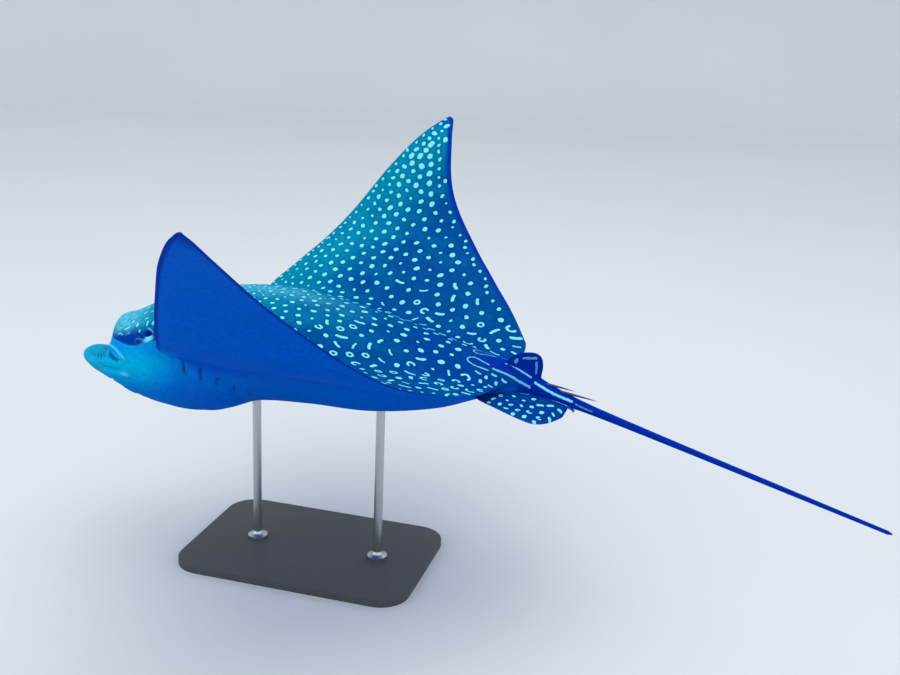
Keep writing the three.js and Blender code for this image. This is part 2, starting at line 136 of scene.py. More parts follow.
BODY_WIDTH = spline(
    (0, 0.03), (0.03, 0.045), (0.07, 0.058), (0.1, 0.068), (0.14, 0.078), (0.18, 0.105),
    (0.24, 0.15), (0.32, 0.17), (0.4, 0.15), (0.48, 0.105), (0.54, 0.065), (0.58, 0.036),
    (0.6, 0.0195), *WHIP)
BACK_TAPER = spline(
    (0, 0.5), (0.14, 0.55), (0.2, 0.85), (0.28, 1.05), (0.45, 1.5), (0.56, 1.2), (0.6, 0.5),
    (1.04, 0.5))
BELLY_TAPER = spline(
    (0, 0.5), (0.14, 0.55), (0.2, 1.2), (0.28, 1.7), (0.45, 1.7), (0.56, 1.2), (0.6, 0.5),
    (1.04, 0.5))
WING_THICKNESS = spline(
    (0, 0.02), (0.08, 0.02), (0.14, 0.017), (0.22, 0.0122), (0.32, 0.0074), (0.42, 0.004),
    (0.5, 0.0016))
ROOT_FRONT = float(LEADING_EDGE(WING_ROOT))
ROOT_REAR = float(TRAILING_EDGE(WING_ROOT))
BROW_SWEEP = 7  # how far the forehead rounds back towards its sides
BROW_FROM, BROW_TO = 0.09, 0.14
FRONT_SLOPE, REAR_SLOPE = 0.35, 0.1  # how the wing's edges run on into the body
BLEND_POWER = 3  # how softly wing and body run into each other


def chord_profile(c):
    """Thickness of a wing section along its chord: round front, thin rear."""
    poly = -0.126 * c - 0.3516 * c**2 + 0.2843 * c**3 - 0.1036 * c**4
    return np.maximum(10 * (0.2969 * np.sqrt(c) + poly), 0)


def half_width(u):
    """Half width of head, disc root or tail at a station."""
    middle = np.where(u > ROOT_REAR, REAR_WIDTH(u), WING_ROOT)
    return np.where(u < ROOT_FRONT, FRONT_WIDTH(u), middle)


def heights(u, v):
    """Upper and lower surface over the flat point (u, v), the head's sides rounded off."""
    out = np.abs(v)
    inside = np.maximum(WING_ROOT - out, 0)
    front = LEADING_EDGE(out) - FRONT_SLOPE * inside
    rear = TRAILING_EDGE(out) + REAR_SLOPE * inside
    chord = np.clip((u - front) / np.maximum(rear - front, 1e-6), 0, 1)
    wing = WING_THICKNESS(out) * chord_profile(chord)
    across = np.clip(out / BODY_WIDTH(u), 0, 1)
    round_off = 1 - across**2
    squareness = 4.5 + 26 * ease(0.1, ROOT_FRONT, u)
    reach = np.clip(out / np.maximum(FRONT_WIDTH(u), 1e-6), 0, 1)
    flank = np.where(u < ROOT_FRONT, np.sqrt(1 - reach**squareness), 1)
    level = SHOULDER_LINE(u)
    brow_u = u - BROW_SWEEP * out**2 * (1 - ease(BROW_FROM, BROW_TO, u))
    up = np.maximum((BACK(brow_u) - level) * round_off ** BACK_TAPER(u) * flank, 0)
    down = np.maximum((level - BELLY(u)) * round_off ** BELLY_TAPER(u) * flank, 0)
    top = level + (up**BLEND_POWER + wing**BLEND_POWER) ** (1 / BLEND_POWER)
    bottom = level - (down**BLEND_POWER + wing**BLEND_POWER) ** (1 / BLEND_POWER)
    middle = (top + bottom) / 2
    half = np.maximum((top - bottom) / 2, RIM_HALF / DISC_WIDTH)
    return middle + half, middle - half


# ---------- the pose ----------

WING_RISE_LEFT = spline(
    (0, 0), (0.05, 0.193), (0.13, 0.302), (0.19, 0.482), (0.24, 0.67), (0.3, 0.772), (0.36, 0.713),
    (0.42, 0.683), (0.5, 0.698))
WING_RISE_RIGHT = spline(
    (0, 0), (0.05, 0), (0.13, 0.545), (0.19, 0.52), (0.24, 0.49), (0.3, 0.71), (0.36, 0.95),
    (0.42, 0.94), (0.46, 0.72), (0.5, 0.42))
WING_TWIST = -0.27  # radians of slope for one disc width of chord
HEAD_DIP = 0.138
TAIL_DROOP = 0.209
TAIL_SWING = 0.166  # to the left
REAR_ROLL = 0.083  # left side down
LINE_START = -0.04
LINE_STEP = 0.0025
LINE_COUNT = 460


def body_line():
    """Place, dive and swing of the line of the body, at even steps along it."""
    u = LINE_START + LINE_STEP * np.arange(LINE_COUNT + 1)
    behind = ease(0.52, 0.64, u)
    dive = HEAD_DIP * (1 - ease(0.1, 0.26, u)) - TAIL_DROOP * behind
    swing = TAIL_SWING * behind
    stride = np.array([np.sin(swing), np.cos(dive) * np.cos(swing), np.sin(dive)]) * LINE_STEP
    place = np.cumsum(np.hstack([np.zeros((3, 1)), stride[:, :-1]]), axis=1)
    return u, np.vstack([place, dive, swing])


LINE_U, LINE = body_line()


def along_body(u):
    return [np.interp(u, LINE_U, row) for row in LINE]


def flex(flat):
    """Bends flat points (v, u, h), in millimetres, into the pose, in metres."""
    v, u, h = np.asarray(flat, float).T / DISC_WIDTH
    out = np.abs(v)
    side = np.where(v < 0, -1, 1)

    def slope(s):
        rise = np.where(v < 0, WING_RISE_RIGHT(s), WING_RISE_LEFT(s))
        return rise + WING_TWIST * (u - MID_BODY) * ease(0, 0.3, s)

    steps = 40
    x = np.zeros_like(out)
    z = np.zeros_like(out)
    for i in range(steps):
        angle = slope((i + 0.5) / steps * out)
        x += np.cos(angle) * out / steps
        z += np.sin(angle) * out / steps
    end = slope(out)
    outwards = side * (x - h * np.sin(end))
    upwards = z + h * np.cos(end)
    roll = REAR_ROLL * ease(0.3, 0.56, u)
    sideways = outwards * np.cos(roll) + upwards * np.sin(roll)
    lift = upwards * np.cos(roll) - outwards * np.sin(roll)
    line_x, line_y, line_z, dive, swing = along_body(u)
    mid_x, mid_y, mid_z = along_body(MID_BODY)[:3]
    bent_x = line_x - mid_x + sideways * np.cos(swing)
    bent_y = line_y - mid_y + MID_BODY - BALANCE - lift * np.sin(dive) - sideways * np.sin(swing)
    bent_z = line_z - mid_z + lift * np.cos(dive)
    posed = np.array([bent_x, bent_y, bent_z]).T * DISC_WIDTH
    posed[:, 2] += RIDE_HEIGHT
    return posed / METRE


# ---------- camera, from behind the left wing and a little above ----------

def make_camera():
    """Looks at the middle of the body, which sits left of and just below the frame's middle."""
    azimuth, elevation, roll = 0.367, 0.312, 0.0133  # radians, from square on to the left side
    distance = 1.4 * DISC_WIDTH / METRE
    focal = 1.2333  # focal length over the frame's width
    aim = Vector((-0.1018, -0.01486, 1)).normalized()
    towards = Vector((-math.cos(azimuth) * math.cos(elevation),
                      -math.sin(azimuth) * math.cos(elevation), -math.sin(elevation)))
    level = Vector((-math.sin(azimuth), math.cos(azimuth), 0))
    upright = level.cross(towards)
    right = math.cos(roll) * level + math.sin(roll) * upright
    up = math.cos(roll) * upright - math.sin(roll) * level
    # turned so that the target lies along aim rather than on the axis
    turn = aim.rotation_difference(Vector((0, 0, 1)))
    basis = Matrix((right, up, towards)).transposed() @ turn.to_matrix()
    data = bpy.data.cameras.new("camera")
    data.sensor_width = 36
    data.lens = 36 * focal
    camera = bpy.data.objects.new("camera", data)
    bpy.context.scene.collection.objects.link(camera)
    target = Vector((0, MID_BODY - BALANCE, 0)) * DISC_WIDTH / METRE
    target.z = RIDE_HEIGHT / METRE
    axes = Matrix((basis.col[0], basis.col[1], -basis.col[2])).transposed()
    camera.matrix_world = Matrix.Translation(target - towards * distance) @ axes.to_4x4()
    bpy.context.scene.camera = camera


make_camera()


# ---------- the skin as one closed mesh, lying flat ----------

def stations(*runs):
    """Stations through (start, end, step in millimetres) runs, each sharing its ends."""
    parts = []
    for start, end, step in runs:
        count = max(round((end - start) * DISC_WIDTH / step), 1)
        parts.append(np.linspace(start, end, count + 1)[:-1])
    return np.concatenate(parts + [[runs[-1][1]]])


NOSE_CHORD = np.array([0, 0.4, 1.2, 2.5, 4.2, 6.3]) / (ROOT_REAR - ROOT_FRONT) / DISC_WIDTH
EDGE_CHORD = 1 - np.array([2.8, 0.7, 0]) / (ROOT_REAR - ROOT_FRONT) / DISC_WIDTH
CHORD_U = stations((ROOT_FRONT, 0.3, 3), (0.3, 0.5, 4.6), (0.5, ROOT_REAR, 3.2))[3:-2]
CHORD = np.concatenate([NOSE_CHORD, (CHORD_U - ROOT_FRONT) / (ROOT_REAR - ROOT_FRONT), EDGE_CHORD])
HEAD_U = stations((0, 0.06, 1.5), (0.06, ROOT_FRONT, 2.1))[:-1]
DISC_U = ROOT_FRONT + CHORD * (ROOT_REAR - ROOT_FRONT)
TAIL_U = stations((ROOT_REAR, TAIL_START, 2), (TAIL_START, 0.68, 3.5), (0.68, TAIL_END, 7))[1:]
BODY_U = np.concatenate([HEAD_U, DISC_U, TAIL_U])
BODY_COLUMNS = 104
WING_COLUMNS = 112
TIP_CROWDING = 1.35  # how much closer the wing's columns lie at the tip
WELD = 0.002  # millimetres within which points are made one


def body_grid():
    """Flat (u, v) of the body's grid, and which of its points lie on the animal's outline."""
    # columns lie closer to the sides on the head and the tail, whose sides are outlines
    crowding = 1 - 0.75 * ease(0.12, 0.2, BODY_U) + 0.75 * ease(0.55, 0.585, BODY_U)
    s = np.linspace(-1, 1, BODY_COLUMNS + 1)
    across = crowding[:, None] * np.sin(s * np.pi / 2) + (1 - crowding[:, None]) * s
    v = across * half_width(BODY_U)[:, None]
    u = np.broadcast_to(BODY_U[:, None], v.shape)
    rim = np.zeros(v.shape, bool)
    rim[0] = rim[-1] = True
    off_disc = (BODY_U <= ROOT_FRONT + 1e-9) | (BODY_U >= ROOT_REAR - 1e-9)
    rim[off_disc, 0] = rim[off_disc, -1] = True
    return u, v, rim


def wing_grid(side):
    """The same for a wing, from its root out to the tip, with columns closer at the tip."""
    t = np.linspace(0, 1, WING_COLUMNS + 1)
    span = WING_ROOT + (WING_TIP - WING_ROOT) * (1 - (1 - t) ** TIP_CROWDING)
    front = LEADING_EDGE(span)
    rear = TRAILING_EDGE(span)
    u = front + CHORD[:, None] * (rear - front)
    v = side * np.broadcast_to(span, u.shape)
    rim = np.zeros(u.shape, bool)
    rim[0] = rim[-1] = rim[:, -1] = True
    return u, v, rim


def two_sheets(u, v, rim, mirrored):
    """Points and faces of the upper and lower sheet over a grid, closed along its rim."""
    top, bottom = heights(u, v)
    closing = np.where(rim, 0, 1)
    middle = (top + bottom) / 2
    half = (top - bottom) / 2 * closing
    sheets = [np.stack([v, u, middle + sign * half], -1).reshape(-1, 3) for sign in (1, -1)]
    rows, columns = u.shape
    index = np.arange(rows * columns).reshape(rows, columns)
    quads = np.stack([index[:-1, :-1], index[:-1, 1:], index[1:, 1:], index[1:, :-1]], -1).reshape(-1, 4)
    if mirrored:
        quads = quads[:, ::-1]
    return np.vstack(sheets) * DISC_WIDTH, np.vstack([quads, quads[:, ::-1] + rows * columns])


def welded(parts, name):
    """One mesh from (points, faces) parts, with points that coincide made one."""
    points, faces, first = [], [], 0
    for part_points, part_faces in parts:
        points.append(part_points)
        faces.append(part_faces + first)
        first += len(part_points)
    mesh = bpy.data.meshes.new(name)
    mesh.from_pydata(np.vstack(points), [], np.vstack(faces).tolist())
    sculptable = bmesh.new()
    sculptable.from_mesh(mesh)
    bmesh.ops.remove_doubles(sculptable, verts=sculptable.verts, dist=WELD)
    bmesh.ops.dissolve_degenerate(sculptable, edges=sculptable.edges, dist=WELD)
    sculptable.to_mesh(mesh)
    sculptable.free()
    return mesh


def body_and_wings():
    parts = [two_sheets(*body_grid(), mirrored=False)]
    for side in (1, -1):
        parts.append(two_sheets(*wing_grid(side), mirrored=side < 0))
    return welded(parts, "flat_body")


# ---------- small fins, lying flat ----------

PELVIC_OUTER = spline(
    (0.55, 0.045), (0.565, 0.062), (0.585, 0.072), (0.61, 0.0795), (0.635, 0.0815),
    (0.647, 0.0775), (0.656, 0.058), (0.663, 0.02))
PELVIC_ROOT = spline((0.55, 0.02), (0.6, 0.009), (0.663, 0.003))
PELVIC_FRONT, PELVIC_REAR, PELVIC_LEVEL, PELVIC_LIFT = 0.55, 0.663, -0.013, 0.65
PELVIC_FOLD = {1: 0, -1: 0.52}  # how steeply the left and the right one hang outside their roots
DORSAL_TOP = spline(
    (0.574, 0.019), (0.58, 0.028), (0.589, 0.036), (0.6, 0.041), (0.609, 0.0425),
    (0.616, 0.0385), (0.6195, 0.028), (0.62, 0.016))
DORSAL_FRONT, DORSAL_REAR, DORSAL_FOOT = 0.574, 0.62, 0.006
FIN_HALF = 0.0034  # half the thickness of a fin at its root
PELVIC_GRID = (80, 44)  # rows and columns
DORSAL_GRID = (48, 40)


def fin_sheets(place, rows, columns, mirrored):
    """A small fin as a closed pair of sheets: place(s, t, half) gives its flat points."""
    rounded = (1 - np.cos(np.linspace(0, np.pi, rows + 1))) / 2  # close rows where the ends turn
    s, t = np.meshgrid(rounded, np.linspace(0, 1, columns + 1), indexing="ij")
    ends = np.sqrt(np.maximum(1 - (2 * s - 1) ** 2, 0))
    half = np.maximum(FIN_HALF * (1 - 0.75 * t) * (0.35 + 0.65 * ends), RIM_HALF / DISC_WIDTH)
    half = np.where((s == 0) | (s == 1) | (t == 1), 0, half)
    points = [np.stack(place(s, t, sign * half), -1).reshape(-1, 3) for sign in (1, -1)]
    index = np.arange(s.size).reshape(s.shape)
    quads = np.stack([index[:-1, :-1], index[:-1, 1:], index[1:, 1:], index[1:, :-1]], -1).reshape(-1, 4)
    root = np.stack([index[:-1, 0], index[1:, 0], index[1:, 0] + s.size, index[:-1, 0] + s.size], -1)
    faces = np.vstack([quads, quads[:, ::-1] + s.size, root])
    if mirrored:
        faces = faces[:, ::-1]
    return np.vstack(points) * DISC_WIDTH, faces


def pelvic_fin(side):
    def place(s, t, half):
        u = PELVIC_FRONT + (PELVIC_REAR - PELVIC_FRONT) * s
        reach = (PELVIC_OUTER(u) - PELVIC_ROOT(u)) * t
        level = PELVIC_LEVEL * (1 - PELVIC_LIFT * s * (1 - t)) - PELVIC_FOLD[side] * reach
        return side * (PELVIC_ROOT(u) + reach), u, level + half

    return fin_sheets(place, *PELVIC_GRID, mirrored=side < 0)


def dorsal_fin():
    def place(s, t, half):
        u = DORSAL_FRONT + (DORSAL_REAR - DORSAL_FRONT) * s
        h = DORSAL_FOOT + (DORSAL_TOP(u) - DORSAL_FOOT) * t
        return -half, u, h

    return fin_sheets(place, *DORSAL_GRID, mirrored=False)


BODY_PART, PELVIC_PART, DORSAL_PART = range(3)


def join_fins(skin):
    """Unites the small fins with the body, each face keeping the number of its part."""
    fins = [(pelvic_fin(1), PELVIC_PART), (pelvic_fin(-1), PELVIC_PART), (dorsal_fin(), DORSAL_PART)]
    for number in range(3):
        skin.data.materials.append(bpy.data.materials.new(f"part_{number}"))
    cutters = []
    for part, number in fins:
        cutter = bpy.data.objects.new("fin", welded([part], "fin"))
        bpy.context.scene.collection.objects.link(cutter)
        for material in skin.data.materials:
            cutter.data.materials.append(material)
        cutter.data.polygons.foreach_set("material_index", [number] * len(cutter.data.polygons))
        joining = skin.modifiers.new("join", "BOOLEAN")
        joining.operation = "UNION"
        joining.solver = "MANIFOLD"
        joining.object = cutter
        cutters.append(cutter)
    graph = bpy.context.evaluated_depsgraph_get()
    joined = bpy.data.meshes.new_from_object(skin.evaluated_get(graph), depsgraph=graph)
    skin.modifiers.clear()
    skin.data = joined
    for cutter in cutters:
        bpy.data.objects.remove(cutter)


# ---------- reading and changing a mesh as arrays ----------

def read(items, name, width=1, kind=float):
    """One property of all the points, edges, corners or faces of a mesh, as an array."""
    values = np.zeros(len(items) * width, kind)
    items.foreach_get(name, values)
    return values.reshape(-1, width) if width > 1 else values


def places_of(mesh):
    return read(mesh.vertices, "co", 3)


def put_places(mesh, places):
    mesh.vertices.foreach_set("co", np.asarray(places, float).ravel())
    mesh.update()


def corners_of(mesh):
    """For each corner of a mesh its point, and its face's part and normal."""
    count = read(mesh.polygons, "loop_total", kind=int)
    part = np.repeat(read(mesh.polygons, "material_index", kind=int), count)
    facing = np.repeat(read(mesh.polygons, "normal", 3), count, axis=0)
    return read(mesh.loops, "vertex_index", kind=int), part, facing


def finish_mesh(mesh, material):
    """Smooth shading, and one material over the whole mesh."""
    mesh.materials.clear()
    mesh.materials.append(material)
    mesh.polygons.foreach_set("use_smooth", [True] * len(mesh.polygons))


def relax(mesh, places, share, rounds):
    """Draws each place towards the middle of its neighbours, by its own share, several times."""
    a, b = read(mesh.edges, "vertices", 2, int).T
    count = np.bincount(a, minlength=len(places)) + np.bincount(b, minlength=len(places))
    for _ in range(rounds):
        total = np.zeros_like(places)
        for axis in range(3):
            total[:, axis] += np.bincount(a, places[b, axis], len(places))
            total[:, axis] += np.bincount(b, places[a, axis], len(places))
        places = places + share[:, None] * (total / count[:, None] - places)
    return places


def refine(mesh, spots):
    """Halves the faces around flat spots ((v, u, h), reach), on both sides of the animal."""
    places = places_of(mesh)
    places[:, 0] = np.abs(places[:, 0])
    near = np.zeros(len(places), bool)
    for centre, reach in spots:
        near |= np.linalg.norm(places - np.array(centre), axis=1) < reach
    finer = bmesh.new()
    finer.from_mesh(mesh)
    edges = [e for e in finer.edges if near[e.verts[0].index] and near[e.verts[1].index]]
    bmesh.ops.subdivide_edges(finer, edges=edges, cuts=1, use_grid_fill=True)
    finer.to_mesh(mesh)
    finer.free()


def seam_places(mesh):
    """Places where two parts of the united skin meet."""
    _, part, _ = corners_of(mesh)
    edge = read(mesh.loops, "edge_index", kind=int)
    low = np.full(len(mesh.edges), DORSAL_PART + 1)
    high = np.full(len(mesh.edges), BODY_PART - 1)
    np.minimum.at(low, edge, part)
    np.maximum.at(high, edge, part)
    joints = read(mesh.edges, "vertices", 2, int)[low < high]
    return places_of(mesh)[np.unique(joints)]


def near_seams(places, seams, reach):
    """1 on the seams, falling to 0 at reach."""
    tree = kdtree.KDTree(len(seams))
    for i, seam in enumerate(seams):
        tree.insert(seam, i)
    tree.balance()
    low, high = seams.min(0) - reach, seams.max(0) + reach
    close = np.flatnonzero(((places > low) & (places < high)).all(1))
    strength = np.zeros(len(places))
    for i in close:
        strength[i] = bump(tree.find(places[i])[2], reach)
    return strength


# ---------- paths over the flat animal, in millimetres ----------

PATH_PLACES = 28
DEPTH_PROBES = 500  # places tried between the midline and the outline


def smooth_path(points):
    """A close polyline through a few points."""
    points = np.array(points, float)
    knots = np.arange(len(points))
    t = np.linspace(0, len(points) - 1, PATH_PLACES)
    return np.stack([spline(*zip(knots, column))(t) for column in points.T], -1)


def flank(*points):
    """A path on the side of the head, through (u, h) points."""
    path = []
    for u, h in smooth_path(points):
        v = np.linspace(0, half_width(u / DISC_WIDTH), DEPTH_PROBES)
        top, bottom = heights(np.full_like(v, u / DISC_WIDTH), v)
        inside = (bottom * DISC_WIDTH <= h) & (h <= top * DISC_WIDTH)
        path.append((v[inside].max() * DISC_WIDTH if inside.any() else v[-1] * DISC_WIDTH, u, h))
    return np.array(path)


def over(sheet, *points):
    """A path on the back (sheet 0) or the belly (sheet 1), through (v, u) points."""
    v, u = smooth_path(points).T
    h = heights(u / DISC_WIDTH, v / DISC_WIDTH)[sheet] * DISC_WIDTH
    return np.stack([v, u, h], -1)


def back(*points):
    return over(0, *points)


def belly(*points):
    return over(1, *points)


def on_left(places):
    """The signs that turn each place over on to the left side of the animal."""
    return np.where(places[:, :1] < 0, [-1, 1, 1], [1, 1, 1])


def stroke(places, path, reach, taper=0.25):
    """How strongly a soft stroke along a path touches each place: 1 on it, 0 beyond reach."""
    touch = np.zeros(len(places))
    low, high = path.min(0) - reach, path.max(0) + reach
    close = np.flatnonzero(((places > low) & (places < high)).all(1))
    if not len(close):
        return touch
    best = np.full(len(close), np.inf)
    along = np.zeros(len(close))
    for k in range(len(path) - 1):
        run = path[k + 1] - path[k]
        to = places[close] - path[k]
        t = np.clip(to @ run / (run @ run + 1e-9), 0, 1)
        distance = np.linalg.norm(to - t[:, None] * run, axis=1)
        nearer = distance < best
        along[nearer] = ((k + t) / (len(path) - 1))[nearer]
        best = np.minimum(best, distance)
    touch[close] = bump(best, reach) * ease(0, taper, along) * ease(0, taper, 1 - along)
    return touch


# ---------- sculpting the flat skin ----------

# v and u of each slit's middle, and half its length
GILLS = ((178, 333, 32), (172, 368, 26), (154, 394, 17), (130, 420, 16), (108, 445, 10))
GILL_SLANT = 0.42  # how far a slit runs back for each millimetre outwards
SPIRACLE = {"u": 215.5, "h": 24, "long": 11.5, "high": 7, "tilt": 0.12, "deep": 9}
EYE_PLACE = np.array([EYE["v"], EYE["u"], EYE["h"]]) * DISC_WIDTH
EYE_LONG, EYE_HIGH = 7.1, 4.5  # half the opening between the lids
LID_RISE, SOCKET_RISE, FOLD_DEPTH = 1.7, 1.6, 1.1
LID_CLEARANCE, SOCKET_DEPTH = 0.9, 3.2  # of the skin off the ball: at the lids, and behind them
SOCKET_REACH = 30  # how far out from the eye's axis the skin is shaped around it
GAZE = np.array([1, -0.1, -0.03]) / np.linalg.norm([1, -0.1, -0.03])


def eye_radius():
    low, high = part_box("eye_left")
    return (high - low).z / 2 * METRE


def lens_distance(places):
    """How far places lie out from the eye's axis, where 1 is the edge of the lids."""
    to = places - EYE_PLACE
    forward = to @ GAZE
    sideways = to - forward[:, None] * GAZE
    radial = np.linalg.norm(sideways, axis=1)
    upright = np.cross(GAZE, [0, 1, 0])
    upright = upright / np.linalg.norm(upright) * np.sign(upright[2])
    level = np.cross(upright, GAZE)
    ring = np.hypot(sideways @ level / EYE_LONG, sideways @ upright / EYE_HIGH)
    return forward, radial, ring, sideways @ upright


def open_eye(places):
    """Lids around the eyeball: the skin sinks inside the opening and rolls up at its edge."""
    forward, radial, ring, up = lens_distance(places)
    radius = eye_radius()
    near = (radial < SOCKET_REACH) & (forward > -4)
    ball = np.sqrt(np.maximum(radius**2 - radial**2, 0))
    lid = LID_RISE * bump(np.abs(ring - 1.35), 0.75) + SOCKET_RISE * bump(radial, 26)
    fold = FOLD_DEPTH * bump(np.abs(ring - 2.5), 0.5) * ease(-2, 6, up)
    outside = np.maximum(forward + lid - fold, np.where(ring < 2, ball + LID_CLEARANCE, -np.inf))
    sunk = np.minimum(forward, ball - SOCKET_DEPTH)
    wanted = np.where(ring < 1, sunk, outside)
    shift = np.where(near, wanted - forward, 0)
    return places + shift[:, None] * GAZE


NOT_ON_HEAD_SIDE = 99  # ring number of the places nearer the midline than the breathing holes


def spiracle_ring(places):
    """1 at the rim of the breathing hole behind the eye, less inside it."""
    u = places[:, 1] - SPIRACLE["u"]
    h = places[:, 2] - SPIRACLE["h"]
    cos, sin = math.cos(SPIRACLE["tilt"]), math.sin(SPIRACLE["tilt"])
    ring = np.hypot((u * cos + h * sin) / SPIRACLE["long"], (h * cos - u * sin) / SPIRACLE["high"])
    return np.where(places[:, 0] > 60, ring, NOT_ON_HEAD_SIDE)


HEAD_STROKES = (
    # path, reach, lift: folds of the head's side
    (flank((86, 6), (96, 0), (120, -5), (144, -17), (161, -32)), 5.0, 3.0),  # two fine cheek edges
    (flank((84, 0), (92, -5), (114, -12), (134, -23), (147, -33)), 4.0, 1.9),
    (flank((94, -15), (104, -20), (118, -25), (130, -30), (143, -34)), 8.5, -3.8),  # hollow before them
    (flank((100, -34), (121, -35), (136, -36), (158, -38)), 5.0, 1.9),  # upper lip
    (flank((78, -44), (98, -46), (128, -49), (148, -52)), 5.0, -1.7),  # corner of the mouth
    (flank((70, -51), (92, -55), (116, -58), (150, -61), (166, -62)), 6.5, 1.9),  # edge of the jaw
    (flank((134, -56), (148, -59), (164, -61)), 8, 1.2),  # pad at the corner of the jaw
    (flank((150, 33), (178, 38), (205, 43), (232, 50)), 17, 3.2),  # brow over eye and spiracle
    (flank((158, -8), (190, -16), (230, -14)), 22, 1.8),  # cheek under the eye
)
TOP_STROKES = (
    (back((0, 87), (26, 89), (52, 94), (70, 99)), 9, -3.6),  # where the snout lobe leaves the forehead
    (back((0, 28), (0, 60), (0, 80)), 16, -1.8),  # shallow trough along the lobe
    (back((0, 250), (0, 300), (0, 380), (0, 470)), 26, 1.6),  # ridge of the back
    (back((24, 262), (48, 262), (80, 272)), 20, -2.2),  # nape
)
UNDER_STROKES = (
    (belly((0, 76), (34, 80), (62, 92)), 7, -3.2),  # crease behind the lobe
    (belly((0, 137), (24, 138.5), (46, 144)), 4.6, -6.0),  # mouth
    (belly((0, 147), (26, 149), (48, 154)), 8, 1.5),  # lower lip
    (belly((40, 108), (47, 114)), 8, -6.5),  # nostril
    (belly((47, 116), (52, 128), (50, 142)), 5, -2.6),  # groove from nostril to mouth
    (belly((0, 886), (0, 914)), 5, -4.5),  # vent
    (belly((9, 880), (11, 900), (8, 920)), 8, 1.6),  # its lips
    (belly((0, 300), (40, 330), (70, 380), (60, 440)), 26, 1.6),  # edge of the breast
)
TAIL_STROKES = (
    (back((10, 905), (13, 940), (15, 970)), 6, -1.2),  # hollow beside the ridge of the tail root
)
# fine streaks that fan back across the snout lobe
WRINKLES = (
    (back((18, 25), (28, 33), (36, 39)), 2.6, -1.2),
    (back((12, 26), (27, 37), (40, 45)), 2.6, -1.3),
    (back((8, 28), (28, 41), (43, 50)), 2.4, 2.0),
    (back((5, 28), (26, 43), (45, 55)), 2.8, -1.2),
    (back((3, 30), (28, 48), (54, 65)), 2.4, 2.2),
    (back((1, 31), (31, 54), (63, 76)), 3.0, -1.4),
    (back((0, 34), (34, 60), (69, 84)), 2.6, 2.1),
    (back((0, 37), (38, 67), (74, 91)), 3.0, -1.3),
    (back((0, 43), (38, 72), (78, 98)), 2.8, 1.8),
    (back((0, 49), (42, 80), (76, 104)), 3.2, -1.3),
)


def gill_strokes():
    """Each gill slit is a deep narrow groove behind a raised flap, bowed a little backwards."""
    strokes = []
    for v, u, half in GILLS:
        slit = [(v + step * half, u + GILL_SLANT * step * half + 4 * step**2) for step in (1, 0.4, -0.4, -1)]
        arch = [(x, y - 15) for x, y in slit]
        strokes.append((belly(*slit), 2.1 + half / 14, -0.9 - half / 11))
        strokes.append((belly(*arch), 17, 0.9 + half / 26))
    return tuple(strokes)


def nasal_curtain(places):
    """The flap between the nostrils, notched in the middle, that hangs over the mouth."""
    v, u, h = places.T
    hem = 122 + 12 * ease(0, 16, v) - 5 * ease(26, 42, v)
    under = h < -45
    return np.where(under, 3 * ease(-1.5, 1.5, hem - u) * ease(90, 116, u) * ease(0, 6, 43 - v), 0)


# flat places and reaches around them where the skin's faces are halved once, and once more
HOLE = (106, SPIRACLE["u"], SPIRACLE["h"])  # the spiracle, on the side of the head
GILL_SPOTS = [(belly((v, u), (v, u))[0], half) for v, u, half in GILLS]
FINE_SPOTS = [
    (EYE_PLACE, 34), (HOLE, 26),
    ((60, 120, -45), 62), ((0, 110, -90), 60),  # jaw and mouth
    ((60, 60, -30), 40), ((20, 45, -26), 40),  # snout lobe
    ((90, 125, -15), 45),  # cheek
    *((spot, half + 16) for spot, half in GILL_SPOTS)]
FINEST_SPOTS = [
    (EYE_PLACE, 20), (HOLE, 18),
    ((38, 56, -29), 44), ((80, 118, -20), 34),
    *((spot, half + 2) for spot, half in GILL_SPOTS)]
FILLET_REACH = 11  # how far the soft run from a fin into the body goes
FILLET_SHARE, FILLET_ROUNDS = 0.75, 14  # how far towards its neighbours a place moves, how often
NECK_SHARE, NECK_ROUNDS = 0.7, 26


def sculpt(skin):
    """Gives the flat skin its folds and openings; returns how far each place rose or sank."""
    mesh = skin.data
    refine(mesh, FINE_SPOTS)
    refine(mesh, FINEST_SPOTS)
    places = places_of(mesh)
    v, u, _ = places.T
    neck = ease(205, 240, u) * (1 - ease(300, 350, u)) * ease(52, 80, np.abs(v))
    fillet = near_seams(places, seam_places(mesh), FILLET_REACH)
    places = relax(mesh, places, NECK_SHARE * neck * ease(1, 6, thickness_under(places)), NECK_ROUNDS)
    places = relax(mesh, places, FILLET_SHARE * fillet, FILLET_ROUNDS)
    put_places(mesh, places)
    normals = read(mesh.vertex_normals, "vector", 3)
    side = on_left(places)
    mirrored = places * side
    relief = np.zeros(len(places))
    strokes = HEAD_STROKES + TOP_STROKES + UNDER_STROKES + TAIL_STROKES + WRINKLES + gill_strokes()
    for path, reach, lift in strokes:
        relief += lift * stroke(mirrored, path, reach)
    relief += nasal_curtain(mirrored)
    ring = spiracle_ring(mirrored)
    relief -= SPIRACLE["deep"] * np.clip(1 - ring**2, 0, 1) ** 0.6
    relief += 2 * bump(np.abs(ring - 1.3), 0.45)
    moved = mirrored + (normals * side) * relief[:, None]
    put_places(mesh, open_eye(moved) * side)
    return places, relief


def thickness_under(places):
    """Millimetres between the two sheets at each flat place."""
    top, bottom = heights(places[:, 1] / DISC_WIDTH, places[:, 0] / DISC_WIDTH)
    return (top - bottom) * DISC_WIDTH


# ---------- a chart of the upper side: distance back, and distance out along the skin ----------

CHART_ANGLE = np.linspace(0, np.pi / 2, 61)


